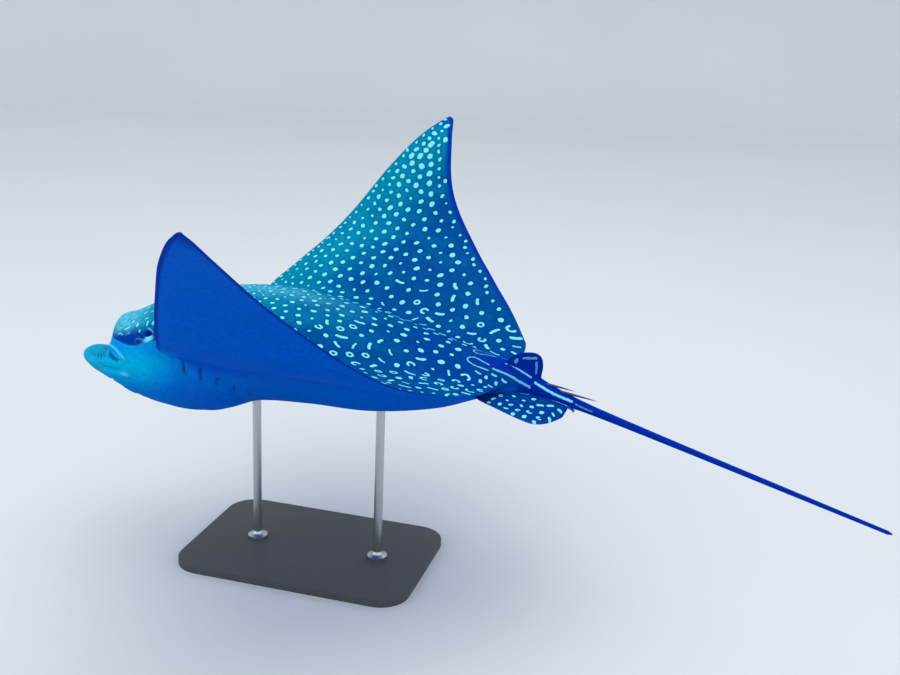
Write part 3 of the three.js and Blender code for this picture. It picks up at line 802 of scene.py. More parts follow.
def girth_chart():
    """Distance out along the back at each station, from the midline to the outline."""
    rows = []
    for u in BODY_U:
        v = half_width(u) * np.sin(CHART_ANGLE)
        top, _ = heights(np.full_like(v, u), v)
        rows.append(np.concatenate([[0], np.cumsum(np.hypot(np.diff(v), np.diff(top)))]))
    return np.array(rows) * DISC_WIDTH


GIRTH = girth_chart()


def chart_of(u, v):
    """Signed distance out along the skin of the back, in millimetres, at flat (u, v)."""
    out = np.abs(v)
    u = u / DISC_WIDTH
    out = out / DISC_WIDTH
    width = np.maximum(half_width(u), 1e-6)
    angle = np.arcsin(np.clip(out / width, 0, 1)) / (np.pi / 2) * (len(CHART_ANGLE) - 1)
    row = np.interp(u, BODY_U, np.arange(len(BODY_U)))
    i = np.minimum(row.astype(int), len(BODY_U) - 2)
    j = np.minimum(angle.astype(int), len(CHART_ANGLE) - 2)
    f, g = row - i, angle - j
    girth = ((1 - f) * (1 - g) * GIRTH[i, j] + f * (1 - g) * GIRTH[i + 1, j]
             + (1 - f) * g * GIRTH[i, j + 1] + f * g * GIRTH[i + 1, j + 1])
    beyond = np.maximum(out - width, 0) * DISC_WIDTH
    return np.where(v < 0, -1, 1) * (girth + beyond)


# ---------- the pale marks of the upper side ----------

# a mark is an arc: place of its middle, direction, half its length, how far it bends and half its
# width; a short straight one is a spot, and one bent by half a turn is a ring
DART_SEED = 11
HALF_TURN = math.pi
SPOT_BEND = 0.3  # of a short mark, where it hardly shows
WING_SPACING = 21.8  # millimetres between neighbouring marks in the middle of a wing, and on a pelvic fin
PELVIC_SPACING = 18.5
SMALLEST_SPACING = 10
EVENING_ROUNDS = 14  # how often thrown marks push their neighbours off, within what share of
EVENING_REACH = 1.32  # their spacing, and how far they give way
EVENING_STEP = 0.22
NEIGHBOURS = 6
DISC_THROWS, FIN_THROWS = 60000, 3000
NO_MARK = -99  # half width of the mark on a face that carries none

# the edge between the pale cheek and the dark mask, and where the mask ends above, over stations
MASK_LINE = spline((84, 28), (101, 15), (110, 12.5), (129, 7.5), (150, 2.4), (170, -1.6), (188, -0.6),
                   (199, 1.6), (211, 7.5), (222, 10), (236, 8), (252, 1), (269, -7))
MASK_TOP = spline((104, 38), (118, 38), (132, 39), (151, 41), (166, 45), (203, 46), (232, 50))


def free_of_edges(u, v):
    """Where the upper side of the disc carries marks."""
    out = np.abs(v)
    front = np.where(out < WING_ROOT, 0.142, LEADING_EDGE(out) + 0.004)
    rear = np.where(out < WING_ROOT, 0.592, TRAILING_EDGE(out) - 0.0095)
    beside = np.where(u < ROOT_FRONT, out < FRONT_WIDTH(u) - 0.008, out < 0.4915)
    beside &= (u < ROOT_REAR - 0.006) | (out < REAR_WIDTH(u + 0.004) - 0.004)
    midline = (u > 0.525) & (out < 0.024)
    top, _ = heights(u, v)
    above_mask = (u > ROOT_FRONT) | (top * DISC_WIDTH > MASK_TOP(u * DISC_WIDTH) + 3)
    return (u > front) & (u < rear) & beside & ~midline & above_mask


def mark_spacing(u, v):
    """Millimetres between neighbouring marks: wide in mid-wing, close on shoulders and edges."""
    out = np.abs(v)
    tip = ease(0.31, 0.44, out)
    gap = WING_SPACING + 2 * ease(0.06, 0.25, out) + 3.5 * ease(0.3, 0.45, u) * (1 - ease(0.2, 0.34, out))
    gap -= 7 * tip
    ahead = u - LEADING_EDGE(out)
    gap -= (7.5 - 5.5 * tip) * (1 - ease(0.01, 0.075, ahead)) * ease(0.08, 0.13, out)
    behind = TRAILING_EDGE(out) - u
    gap -= (6 - 5 * tip) * (1 - ease(0.014, 0.045, behind)) * ease(0.1, 0.16, out)
    gap -= 6 * ease(0.525, 0.56, u) * (1 - ease(0.06, 0.1, out))
    return np.maximum(gap - 8 * (1 - ease(0.19, 0.34, u)) * (1 - ease(0.1, 0.22, out)), SMALLEST_SPACING)


def charted(flat):
    """Chart places of flat (u, v) rows given as fractions of the disc width."""
    u, v = flat.T * DISC_WIDTH
    return np.stack([u, chart_of(u, v)], -1)


def thrown(rng, count, low, high, allowed, spacing, taken):
    """Marks thrown at random where they stay clear of the ones before, then evened out."""
    u, v = rng.uniform(low, high, (count, 2)).T
    keep = allowed(u, v)
    darts = np.stack([u[keep], v[keep]], -1)
    held = np.vstack([taken, np.full((len(darts), 2), 1e6)])
    total = len(taken)
    chosen = []
    for k, (place, gap) in enumerate(zip(charted(darts), spacing(*darts.T))):
        to = held[:total] - place
        if total == 0 or (to * to).sum(1).min() > gap * gap:
            held[total] = place
            total += 1
            chosen.append(k)
    flat = darts[chosen]
    for _ in range(EVENING_ROUNDS):
        places = charted(flat)
        reach = EVENING_REACH * spacing(*flat.T)
        tree = kdtree.KDTree(len(flat) + len(taken))
        for i, place in enumerate(np.vstack([places, taken])):
            tree.insert((*place, 0), i)
        tree.balance()
        push = np.zeros_like(flat)
        for i, place in enumerate(places):
            for other, _, distance in tree.find_n((*place, 0), NEIGHBOURS + 1)[1:]:
                if distance < reach[i]:
                    push[i] += (place - np.array(other[:2])) * (reach[i] / distance - 1)
        moved = flat + EVENING_STEP * push / DISC_WIDTH
        free = allowed(*moved.T)
        flat[free] = moved[free]
    return flat, charted(flat), spacing(*flat.T)


def mark_row(place, direction, half_length, bend, half_width_mm, light=1.0):
    """One mark as the numbers that the skin's material draws it from."""
    radius = half_length / bend
    pivot = np.array(place, float)
    if bend < 1.2:
        pivot = pivot - radius * np.array([-math.sin(direction), math.cos(direction)])
    return (*pivot, math.cos(direction), math.sin(direction), radius, half_width_mm, bend, light)


def edge_rows(rng):
    """Small spots that line up just inside the front and rear edges of the wings."""
    rows = []
    # the edge, how far behind it the row lies, how much a spot strays, and where the row starts
    edges = ((LEADING_EDGE, 0.0078, 0.001, 0.125), (TRAILING_EDGE, -0.0165, 0.0024, 0.15))
    for side in (1, -1):
        for edge, inset, stray, out in edges:
            while out < 0.47:
                flat = np.array([[edge(out) + inset + rng.normal(0, stray), side * out]])
                size = rng.uniform(2.4, 3.6)
                turn = HALF_TURN / 2 + rng.normal(0, 0.4)
                rows.append(mark_row(charted(flat)[0], turn, rng.uniform(0.2, 2.4), SPOT_BEND, size))
                out += rng.uniform(0.5, 0.8) * (0.016 + 2 * stray)
    return rows


def disc_marks(rng, lines):
    """Round spots on the wings, turning to bars, hooks and rings towards the middle of the back."""
    chosen = [mark_row(place, *shape) for place, shape in (*HEAD_MARKS, *ROOT_MARKS)] + edge_rows(rng)
    taken = np.array([spot for row in [*chosen, *lines] for spot in along_mark(np.array(row))])
    # the two sides together are one throw, so that the midline has no seam
    area = ((0.09, -0.5), (0.57, 0.5))
    flat, places, gaps = thrown(rng, DISC_THROWS, *area, free_of_edges, mark_spacing, taken)
    for (u, v), place, gap in zip(flat, places, gaps):
        out = abs(v)
        tip = float(ease(0.31, 0.44, out))
        rear = float(ease(0.3, 0.44, u) * (1 - ease(0.1, 0.2, out)) * ease(0.03, 0.06, out))
        draw = rng.random()
        size = gap * (0.2 + 0.15 * tip) * (rng.uniform(0.82, 1.18) if rng.random() < 0.84 else 0.6)
        across = HALF_TURN / 2 + rng.normal(0, 0.45)
        # towards the rear of the back bars, hooks and rings come in among the spots
        if draw < 0.44 * rear:
            turn, length = rng.uniform((-0.9, 5.5), (2.4, 10.5))
            chosen.append(mark_row(place, turn, length, SPOT_BEND, size * 0.66))
        elif draw < 0.6 * rear:
            turn, length, bend = rng.uniform((0, 11, 1.5), (6.28, 15, 2.3))
            chosen.append(mark_row(place, turn, length, bend, 2.4))
        elif draw < 0.72 * rear:
            chosen.append(mark_row(place, 0, HALF_TURN * rng.uniform(4.6, 6.4), HALF_TURN, 2.1))
        elif draw < 0.86 * rear or u < 0.24:
            chosen.append(mark_row(place, across, rng.uniform(0.6, 2.6), SPOT_BEND, size * 0.84))
        else:
            chosen.append(mark_row(place, across, rng.uniform(0.2, 2.0 + 1.4 * tip), SPOT_BEND, size))
    return np.array(chosen)


def mirrored_marks(entries):
    """Marks on the left side, at flat (u, v) in millimetres, and their reflections on the right."""
    both = []
    for (u, v), (direction, *rest) in entries:
        out = float(chart_of(np.array([u]), np.array([v]))[0])
        both.append(((u, out), (direction, *rest)))
        both.append(((u, -out), (HALF_TURN - direction, *rest)))
    return both


HEAD_MARKS = mirrored_marks((
    # place, then direction, half length, bend, half width, light
    ((124.5, 60.7), (2.5, 5.4, 1.0, 1.3, 0.85)),  # thin arcs at the front of the dark mask
    ((132, 71.5), (3.73, 9.0, 0.5, 1.3, 0.75)),
    ((154.5, 79), (3.37, 5.0, 0.9, 1.4, 0.4)),
    ((146.8, 68.6), (-0.11, 5.4, 0.3, 2.2, 1.0)),
    ((156.3, 60.3), (1.5, 1.5, 0.3, 2.9, 1.0)),
    ((178.6, 79.4), (1.14, 3.0, 0.3, 3.2, 1.0)),
    ((188.2, 92.3), (1.2, 1.2, 0.3, 2.4, 0.9)),
    ((209.4, 93.9), (1.62, 3.0, 0.3, 2.3, 0.95)),
    ((223.2, 99), (1.6, 2.4, 0.3, 2.1, 0.85)),
    ((198.5, 80), (0.25, 2.2, 0.3, 2.3, 0.85)),
    ((204.7, 66.3), (-0.2, 1.6, 0.3, 2.3, 0.9)),
    ((183.7, 55.7), (0.19, 3.4, 0.3, 2.4, 0.9)),
    ((181.5, 32.7), (-1.53, 3.6, 0.3, 2.9, 1.0)),
    ((208, 43), (1.3, 2.4, 0.3, 2.9, 0.95)),
    ((206, 14), (0.1, 2.2, 0.3, 3.0, 1.0)),
))
ROOT_MARKS = mirrored_marks((
    # between the long lines and the pelvic fins
    ((882, 55), (0.3, 5.0, 0.3, 2.0, 0.8)),
    ((893, 71), (1.4, 1.6, 0.3, 3.4, 1.0)),
    ((900, 57), (1.3, 1.4, 0.3, 3.2, 0.95)),
    ((909, 86), (1.5, 2.0, 0.3, 3.2, 0.95)),
    ((912, 45), (0.2, 4.4, 0.3, 2.0, 0.8)),
    ((915, 71), (0.3, 3.6, 0.3, 2.6, 0.95)),
    ((922, 58), (1.2, 1.6, 0.3, 3.0, 0.9)),
    ((934, 46), (0.1, 4.6, 1.0, 2.0, 0.8)),
))
LINE_MARKS = mirrored_marks((
    # a long pale loop, open behind, on each side of the rear of the back
    ((880, 18), (0.42, 15, 0.12, 1.5, 0.75)),
    ((865, 24), (1.57, 19, 1.5, 1.5, 0.75)),
    ((882, 39.5), (0.05, 15, 0.1, 1.6, 0.8)),
    ((943, 31), (-0.03, 38, 0.14, 2.4, 0.6)),
    # lines beside the dorsal fin and on down the tail
    ((948, 6), (0.24, 27, 0.16, 2.2, 0.85)),
    ((1026, 12), (-0.06, 38, 0.06, 2.3, 1.0)),
    ((1090, 9), (0, 17, 0.05, 1.2, 0.4)),
))
DORSAL_MARKS = (
    ((964, 55.5), (0.36, 12, 0.06, 2.0, 0.5)),
    ((980, 41), (-1.36, 11, 0.12, 1.9, 0.42)),
    ((940, 42), (1.2, 2.0, 0.3, 3.0, 0.55)),
)
PELVIC_CHART = 4000  # millimetres that keep each fin's chart away from the others
DORSAL_CHART = 8000


def on_pelvic(u, v):
    inner = np.maximum(PELVIC_ROOT(u) + 0.004, 0.01 + REAR_WIDTH(u) * 0.8)
    return (u > 0.572) & (u < 0.6585) & (v > inner) & (v < PELVIC_OUTER(u) - 0.005)


def pelvic_marks(rng):
    """Marks of the two pelvic fins, each in its own chart."""
    rows = []
    for side in (1, -1):
        flat, _, _ = thrown(rng, FIN_THROWS, (0.57, 0.0), (0.663, 0.1), on_pelvic,
                            lambda u, v: np.full_like(u, PELVIC_SPACING), np.zeros((0, 2)))
        for u, v in flat:
            place = (u * DISC_WIDTH, side * (v * DISC_WIDTH + PELVIC_CHART))
            bend = rng.choice([0.3, 0.3, 0.3, 0.3, 1.9])
            length, size = (rng.uniform(7, 10), 2.0) if bend > 1 else rng.uniform((0.5, 2.6), (5.5, 4.0))
            rows.append(mark_row(place, rng.normal(1.4, 0.7), length, bend, size))
    return np.array(rows)


def line_marks():
    """The long pale lines, which may run close by one another or by a spot."""
    rows = [mark_row(place, *shape) for place, shape in LINE_MARKS]
    for side in (1, -1):
        for (u, h), shape in DORSAL_MARKS:
            rows.append(mark_row((u, side * (h + DORSAL_CHART)), side * shape[0], *shape[1:]))
    return np.array(rows)


ARC_SPOTS = 5  # places along a mark that stand for it in a search
NEAR_SPOTS = 12  # how many of them are compared for each face


def along_mark(row):
    """A few places along the arc of a mark."""
    pivot, (cos, sin), radius, bend = row[:2], row[2:4], row[4], row[6]
    turns = np.linspace(-bend, bend, ARC_SPOTS)
    x, y = radius * np.sin(turns), radius * np.cos(turns)
    return np.stack([pivot[0] + x * cos - y * sin, pivot[1] + x * sin + y * cos], -1)


def arc_distance(place, rows):
    """Millimetres from chart places to the edge of their marks, negative inside them."""
    pivot_u, pivot_v, cos, sin, radius, width, bend, _ = rows.T
    du, dv = place[:, 0] - pivot_u, place[:, 1] - pivot_v
    x = np.abs(du * cos + dv * sin)
    y = dv * cos - du * sin
    tip = np.hypot(x - radius * np.sin(bend), y - radius * np.cos(bend))
    ring = np.abs(np.hypot(x, y) - radius)
    past_end = x * np.cos(bend) > y * np.sin(bend)
    return np.where(past_end, tip, ring) - width


def nearest_marks(places, rows):
    """The row of marks whose edge is nearest each chart place."""
    tree = kdtree.KDTree(len(rows) * ARC_SPOTS)
    for i, row in enumerate(rows):
        for spot in along_mark(row):
            tree.insert((*spot, 0), i)
    tree.balance()
    found = np.array([[hit[1] for hit in tree.find_n((a, b, 0), NEAR_SPOTS)] for a, b in places])
    distance = np.stack([arc_distance(places, rows[found[:, k]]) for k in range(found.shape[1])])
    return found[np.arange(len(places)), distance.argmin(0)]


# ---------- what the skin's material reads from its mesh ----------

def write(mesh, name, domain, values):
    """Stores a number or a vector on each point, corner or face of a mesh."""
    values = np.asarray(values, float)
    if values.ndim == 1:
        mesh.attributes.new(name, "FLOAT", domain).data.foreach_set("value", values)
    else:
        mesh.attributes.new(name, "FLOAT_VECTOR", domain).data.foreach_set("vector", values.ravel())


NO_EDGE = 99  # millimetres, for a place that no edge of a wing is near


def colour_zones(places, part, rise):
    """Where each colour of the skin lies, as numbers from 0 to 1 at each flat place."""
    v, u, h = places.T
    pelvic = part == PELVIC_PART
    out = np.abs(v) / DISC_WIDTH
    back_u = u / DISC_WIDTH
    top, bottom = heights(back_u, v / DISC_WIDTH)
    above = h - (top + bottom) / 2 * DISC_WIDTH
    # on the head the upper colour ends at the mask's line, softer towards its rear, elsewhere at the rim
    over_line = h - MASK_LINE(u)
    on_head = 1 - ease(240, 269, u)
    soft = 2.5 + 5 * ease(212, 244, u)
    upper = on_head * ease(-soft, soft, over_line) + (1 - on_head) * ease(-0.25, 0.25, above)
    upper = np.where(pelvic, ease(-0.2, 0.2, rise), upper)
    lobe = 1 - ease(80, 96, u - 6 * (h > 6))
    upper = upper * (1 - lobe)
    mask = ease(-3, 2, over_line) * (1 - ease(-27, 0, h - MASK_TOP(u)))
    mask *= ease(84, 100, u) * (1 - ease(236, 268, u))
    # teal over the shoulders and the fronts of the wings, blue to the rear, and navy along the rear of the
    # spine, which is painted shade
    from_front = back_u - LEADING_EDGE(out)
    teal = (1 - ease(0.05, 1, from_front / (0.17 + 0.16 * (1 - ease(0, 0.2, out))))) ** 1.3
    # painted shade along the rear of the spine
    navy = 0.8 * ease(0.41, 0.5, back_u) * (1 - ease(0.05, 0.11, out))
    # a navy margin, 6 to 17 mm wide, behind on the upper side and all round on the under side
    on_body = out < WING_ROOT
    behind = np.where(on_body, NO_EDGE, (TRAILING_EDGE(out) - back_u) * DISC_WIDTH)
    ahead = np.where(on_body, NO_EDGE, from_front * DISC_WIDTH)
    tip = ease(0.462, 0.492, out)
    margin_above = np.maximum(1 - ease(6, 17, behind), 0.8 * tip)
    margin_below = np.maximum(1 - ease(5, 13, np.minimum(behind, ahead)), 0.7 * tip)
    margin = ease(0.11, 0.2, out) * np.where(above > 0, margin_above, margin_below)
    stripe = 0.8 * ease(0.528, 0.56, back_u) * (1 - ease(0.016, 0.021, out)) * (above > 0)
    tail = np.where(pelvic, 0, np.maximum(stripe, ease(0.592, 0.608, back_u)))
    # the cheek is pale as far as the first gill, and the belly below and behind it is dimmer: painted shade.
    # A pale wedge runs on along the under edge of the wing's root: a painted highlight
    # painted shade: the pale fades downwards and back past the first gill
    throat = (1 - 0.4 * ease(-34, -8, h)) * (1 - 0.8 * ease(-40, -102, h))
    throat /= 1 + (np.maximum(u - 180, 0) / 76) ** 2
    throat *= 1 - ease(0.104, 0.122, out)
    from_edge = back_u - LEADING_EDGE(np.maximum(out, WING_ROOT))
    root_highlight = 0.3 * ease(0.1, 0.115, out) * (1 - ease(0.165, 0.205, out)) * (1 - ease(0.018, 0.034, from_edge))
    # painted highlight along the crest of the back, in the crown's green
    crest_highlight = 0.6 * (1 - ease(0.25, 0.42, back_u)) * (1 - ease(0, 0.05, out))
    crown = np.maximum(1 - ease(0.085, 0.14, back_u), crest_highlight)
    return {
        "skin_upper": upper, "skin_mask": mask, "skin_teal": teal, "skin_navy": navy,
        "skin_margin": margin, "skin_tail": tail, "skin_throat": np.maximum(throat, root_highlight),
        "skin_crown": crown, "skin_lobe": lobe,
    }


# path, reach, taper and light of the pale strokes on the side of the head: painted highlights along its rims
# and edges
RIM_HIGHLIGHT_STROKES = (
    (flank((203, 5.5), (210, 10), (217, 13), (225, 16.5), (231, 22)), 7, 0.42, 1.4),  # under the hole
    (flank((210, 34), (218, 30.5), (225, 27), (231, 21)), 3.6, 0.4, 1.12),  # over the hole
    (flank((84, 9), (90, 4), (98, -1), (120, -6), (144, -18), (160, -31)), 4.2, 0.12, 0.5),  # cheek edge
    (flank((128, -56), (140, -58), (152, -60.5), (166, -61.5)), 6.5, 0.5, 0.4),  # pad of the jaw
    (flank((76, -4), (86, -10), (96, -17)), 11, 0.4, 0.3),  # bridge from the lobe to the cheek
)
LID_HIGHLIGHT = 0.24


def painted_rim_highlights(places):
    """Painted highlights: how pale each place is on the lid, the rims of the breathing hole and the edges of
    cheek and jaw.
    """
    mirrored = places * on_left(places)
    _, radial, ring, up = lens_distance(mirrored)
    # painted highlight round the lid, stronger on its upper side
    lid = bump(np.abs(ring - 1.4), 0.4) * (0.35 + 0.65 * ease(-3, 3, up))
    light = LID_HIGHLIGHT * lid * (radial < 20) * (mirrored[:, 0] > 60)
    for path, reach, taper, strength in RIM_HIGHLIGHT_STROKES:
        light = np.maximum(light, np.minimum(strength * stroke(mirrored, path, reach, taper), 1))
    return light


def dress(skin, flat, relief):
    """Writes the colour zones, the charts and each face's own marks on to the skin."""
    mesh = skin.data
    v, u, h = flat.T
    corner, part, facing = corners_of(mesh)
    part_of_point = np.zeros(len(flat), int)
    np.maximum.at(part_of_point, corner, part)
    zones = colour_zones(flat, part_of_point, read(mesh.vertex_normals, "vector", 3)[:, 2])
    zones |= {"skin_relief": relief, "skin_rim": painted_rim_highlights(flat), "flat_place": flat}
    for name, values in zones.items():
        write(mesh, name, "POINT", values)

    girth = chart_of(u, v)[corner]
    pelvic = v[corner] + np.where(v[corner] < 0, -PELVIC_CHART, PELVIC_CHART)
    dorsal = np.where(facing[:, 0] < 0, -1, 1) * (h[corner] + DORSAL_CHART)
    out = np.choose(part, [girth, pelvic, dorsal])
    chart = np.stack([u[corner], out, np.zeros(len(corner))], -1)
    write(mesh, "mark_chart", "CORNER", chart)

    rng = np.random.default_rng(DART_SEED)
    lines = line_marks()
    spots = np.vstack([disc_marks(rng, lines), pelvic_marks(rng)])
    first = read(mesh.polygons, "loop_start", kind=int)
    middle = np.add.reduceat(chart[:, :2], first) / read(mesh.polygons, "loop_total", kind=int)[:, None]
    upward = (facing[first, 2] > 0) | (part[first] == DORSAL_PART)
    zero = np.zeros(len(first))
    for name, rows in (("spot", spots), ("line", lines)):
        chosen = np.zeros(len(first), int)
        chosen[upward] = nearest_marks(middle[upward], rows)
        row = rows[chosen]
        row[~upward, 5] = NO_MARK
        write(mesh, name + "_pivot", "FACE", np.stack([row[:, 0], row[:, 1], zero], -1))
        write(mesh, name + "_turn", "FACE", np.stack([row[:, 2], row[:, 3], zero], -1))
        write(mesh, name + "_shape", "FACE", row[:, [4, 5, 6]])
        write(mesh, name + "_light", "FACE", row[:, 7])


def bake_map(skin, flat):
    """An unwrap that lays the upper and the lower side out flat, with the small fins beside the tail."""
    corner, part, facing = corners_of(skin.data)
    v, u, h = flat[corner].T / DISC_WIDTH
    side = np.where(v < 0, -1, 1)
    fin_side = np.where(facing[:, 0] < 0, -1, 1)
    girth = chart_of(flat[:, 1], flat[:, 0])[corner] / DISC_WIDTH
    across = np.choose(part, [girth, v + 0.15 * side, fin_side * (0.3 + h)])
    along = u + np.choose(part, [0, 0.2, 0.25])
    upward = np.where(part == DORSAL_PART, 1, facing[:, 2]) > 0
    place = np.stack([0.5 + across / 1.14, 0.01 + along * 0.45 + np.where(upward, 0, 0.5)], -1)
    skin.data.uv_layers.new(name="OFBake").data.foreach_set("uv", place.ravel())


# ---------- materials ----------

def colour(code):
    """Linear colour from an sRGB hex code."""
    parts = [int(code[i:i + 2], 16) / 255 for i in (1, 3, 5)]
    return (*(p / 12.92 if p <= 0.04045 else ((p + 0.055) / 1.055) ** 2.4 for p in parts), 1)


def add(tree, kind, inputs=(), **settings):
    """Adds a shader node. Each input, by name or number, is a value to set or a socket to link."""
    made = tree.nodes.new("ShaderNode" + kind)
    for name, value in settings.items():
        setattr(made, name, value)
    for name, value in dict(inputs).items():
        if isinstance(value, bpy.types.NodeSocket):
            tree.links.new(value, made.inputs[name])
        else:
            made.inputs[name].default_value = value
    return made


def new_material(name, **constants):
    """A material with its constants on its own Principled shader; returns it, its tree and shader."""
    material = bpy.data.materials.new(name)
    material.use_nodes = True
    tree = material.node_tree
    shader = tree.nodes["Principled BSDF"]
    for socket, value in constants.items():
        shader.inputs[socket.replace("_", " ")].default_value = value
    return material, tree, shader


def drive(shader, **sources):
    """Links sockets to the shader's inputs, each named with _ for a space."""
    for name, socket in sources.items():
        shader.id_data.links.new(socket, shader.inputs[name.replace("_", " ")])


def mark_cover(tree, layer, roughen):
    """How much of one layer's pale mark covers a point, and the shade that lies around it."""
    chart, pivot, turn, shape = (
        add(tree, "Attribute", attribute_name=name).outputs["Vector"]
        for name in ("mark_chart", layer + "_pivot", layer + "_turn", layer + "_shape"))
    light = add(tree, "Attribute", attribute_name=layer + "_light").outputs["Fac"]
    radius, width, bend = add(tree, "SeparateXYZ", {0: shape}).outputs
    # the place in the mark's own frame, folded about its middle
    local = add(tree, "VectorMath", {0: chart, 1: pivot}, operation="SUBTRACT").outputs[0]
    along = add(tree, "VectorMath", {0: local, 1: turn}, operation="DOT_PRODUCT").outputs["Value"]
    crossed = add(tree, "VectorMath", {0: turn, 1: local}, operation="CROSS_PRODUCT").outputs[0]
    x = add(tree, "Math", {0: along}, operation="ABSOLUTE").outputs[0]
    y = add(tree, "SeparateXYZ", {0: crossed}).outputs[2]
    point = add(tree, "CombineXYZ", {0: x, 1: y}).outputs[0]
    sine = add(tree, "Math", {0: bend}, operation="SINE").outputs[0]
    cosine = add(tree, "Math", {0: bend}, operation="COSINE").outputs[0]
    towards_end = add(tree, "CombineXYZ", {0: sine, 1: cosine}).outputs[0]
    end = add(tree, "VectorMath", {0: towards_end, "Scale": radius}, operation="SCALE").outputs[0]
    # past the end of the arc the distance is to its end, elsewhere to its ring
    to_end = add(tree, "VectorMath", {0: point, 1: end}, operation="DISTANCE").outputs["Value"]
    length = add(tree, "VectorMath", {0: point}, operation="LENGTH").outputs["Value"]
    off_ring = add(tree, "Math", {0: length, 1: radius}, operation="SUBTRACT").outputs[0]
    to_ring = add(tree, "Math", {0: off_ring}, operation="ABSOLUTE").outputs[0]
    left = add(tree, "Math", {0: x, 1: cosine}, operation="MULTIPLY").outputs[0]
    right = add(tree, "Math", {0: y, 1: sine}, operation="MULTIPLY").outputs[0]
    past_end = add(tree, "Math", {0: left, 1: right}, operation="GREATER_THAN").outputs[0]
    nearest = add(tree, "Mix", {0: past_end, 2: to_ring, 3: to_end}).outputs[0]
    inside = add(tree, "Math", {0: nearest, 1: width}, operation="SUBTRACT").outputs[0]
    ragged = add(tree, "Math", {0: inside, 1: roughen}, operation="ADD").outputs[0]
    core = add(tree, "MapRange", {0: ragged, 1: 0.8, 2: -0.8, 4: light},
               interpolation_type="SMOOTHSTEP").outputs[0]
    halo = add(tree, "MapRange", {0: inside, 1: 7.0, 2: 1.0, 4: light},
               interpolation_type="SMOOTHSTEP").outputs[0]
    return core, halo


# what the eye meets on the animal
SHOULDER_TEAL = "#007c9e"  # shoulders and the fronts of the wings
WING_BLUE = "#004688"
# painted shade along the rear of the spine
SPINE_SHADE_NAVY = "#00388a"
# this green along the crest behind the head is a painted highlight
CROWN_GREEN = "#4cb2cc"  # top of the head and the crest behind it
MASK_NAVY = "#003595"
MARK_PALE = "#78dcf2"
# the navy margin of the wings; also the colour of the painted shade in hollows
MARGIN_AND_HOLLOW_SHADE_NAVY = "#003095"
TAIL_NAVY = "#002896"
LOBE_PALE = "#1496c0"
THROAT_PALE = "#00a4d2"
# painted shade: the underside, white in life, painted the deep blue it shows in shade under blue water light
UNDER_SHADE_BLUE = "#0052bc"
WATER_BLUE = (0.35, 0.7, 1.0, 1)  # the gloss takes the cast of the light around the animal


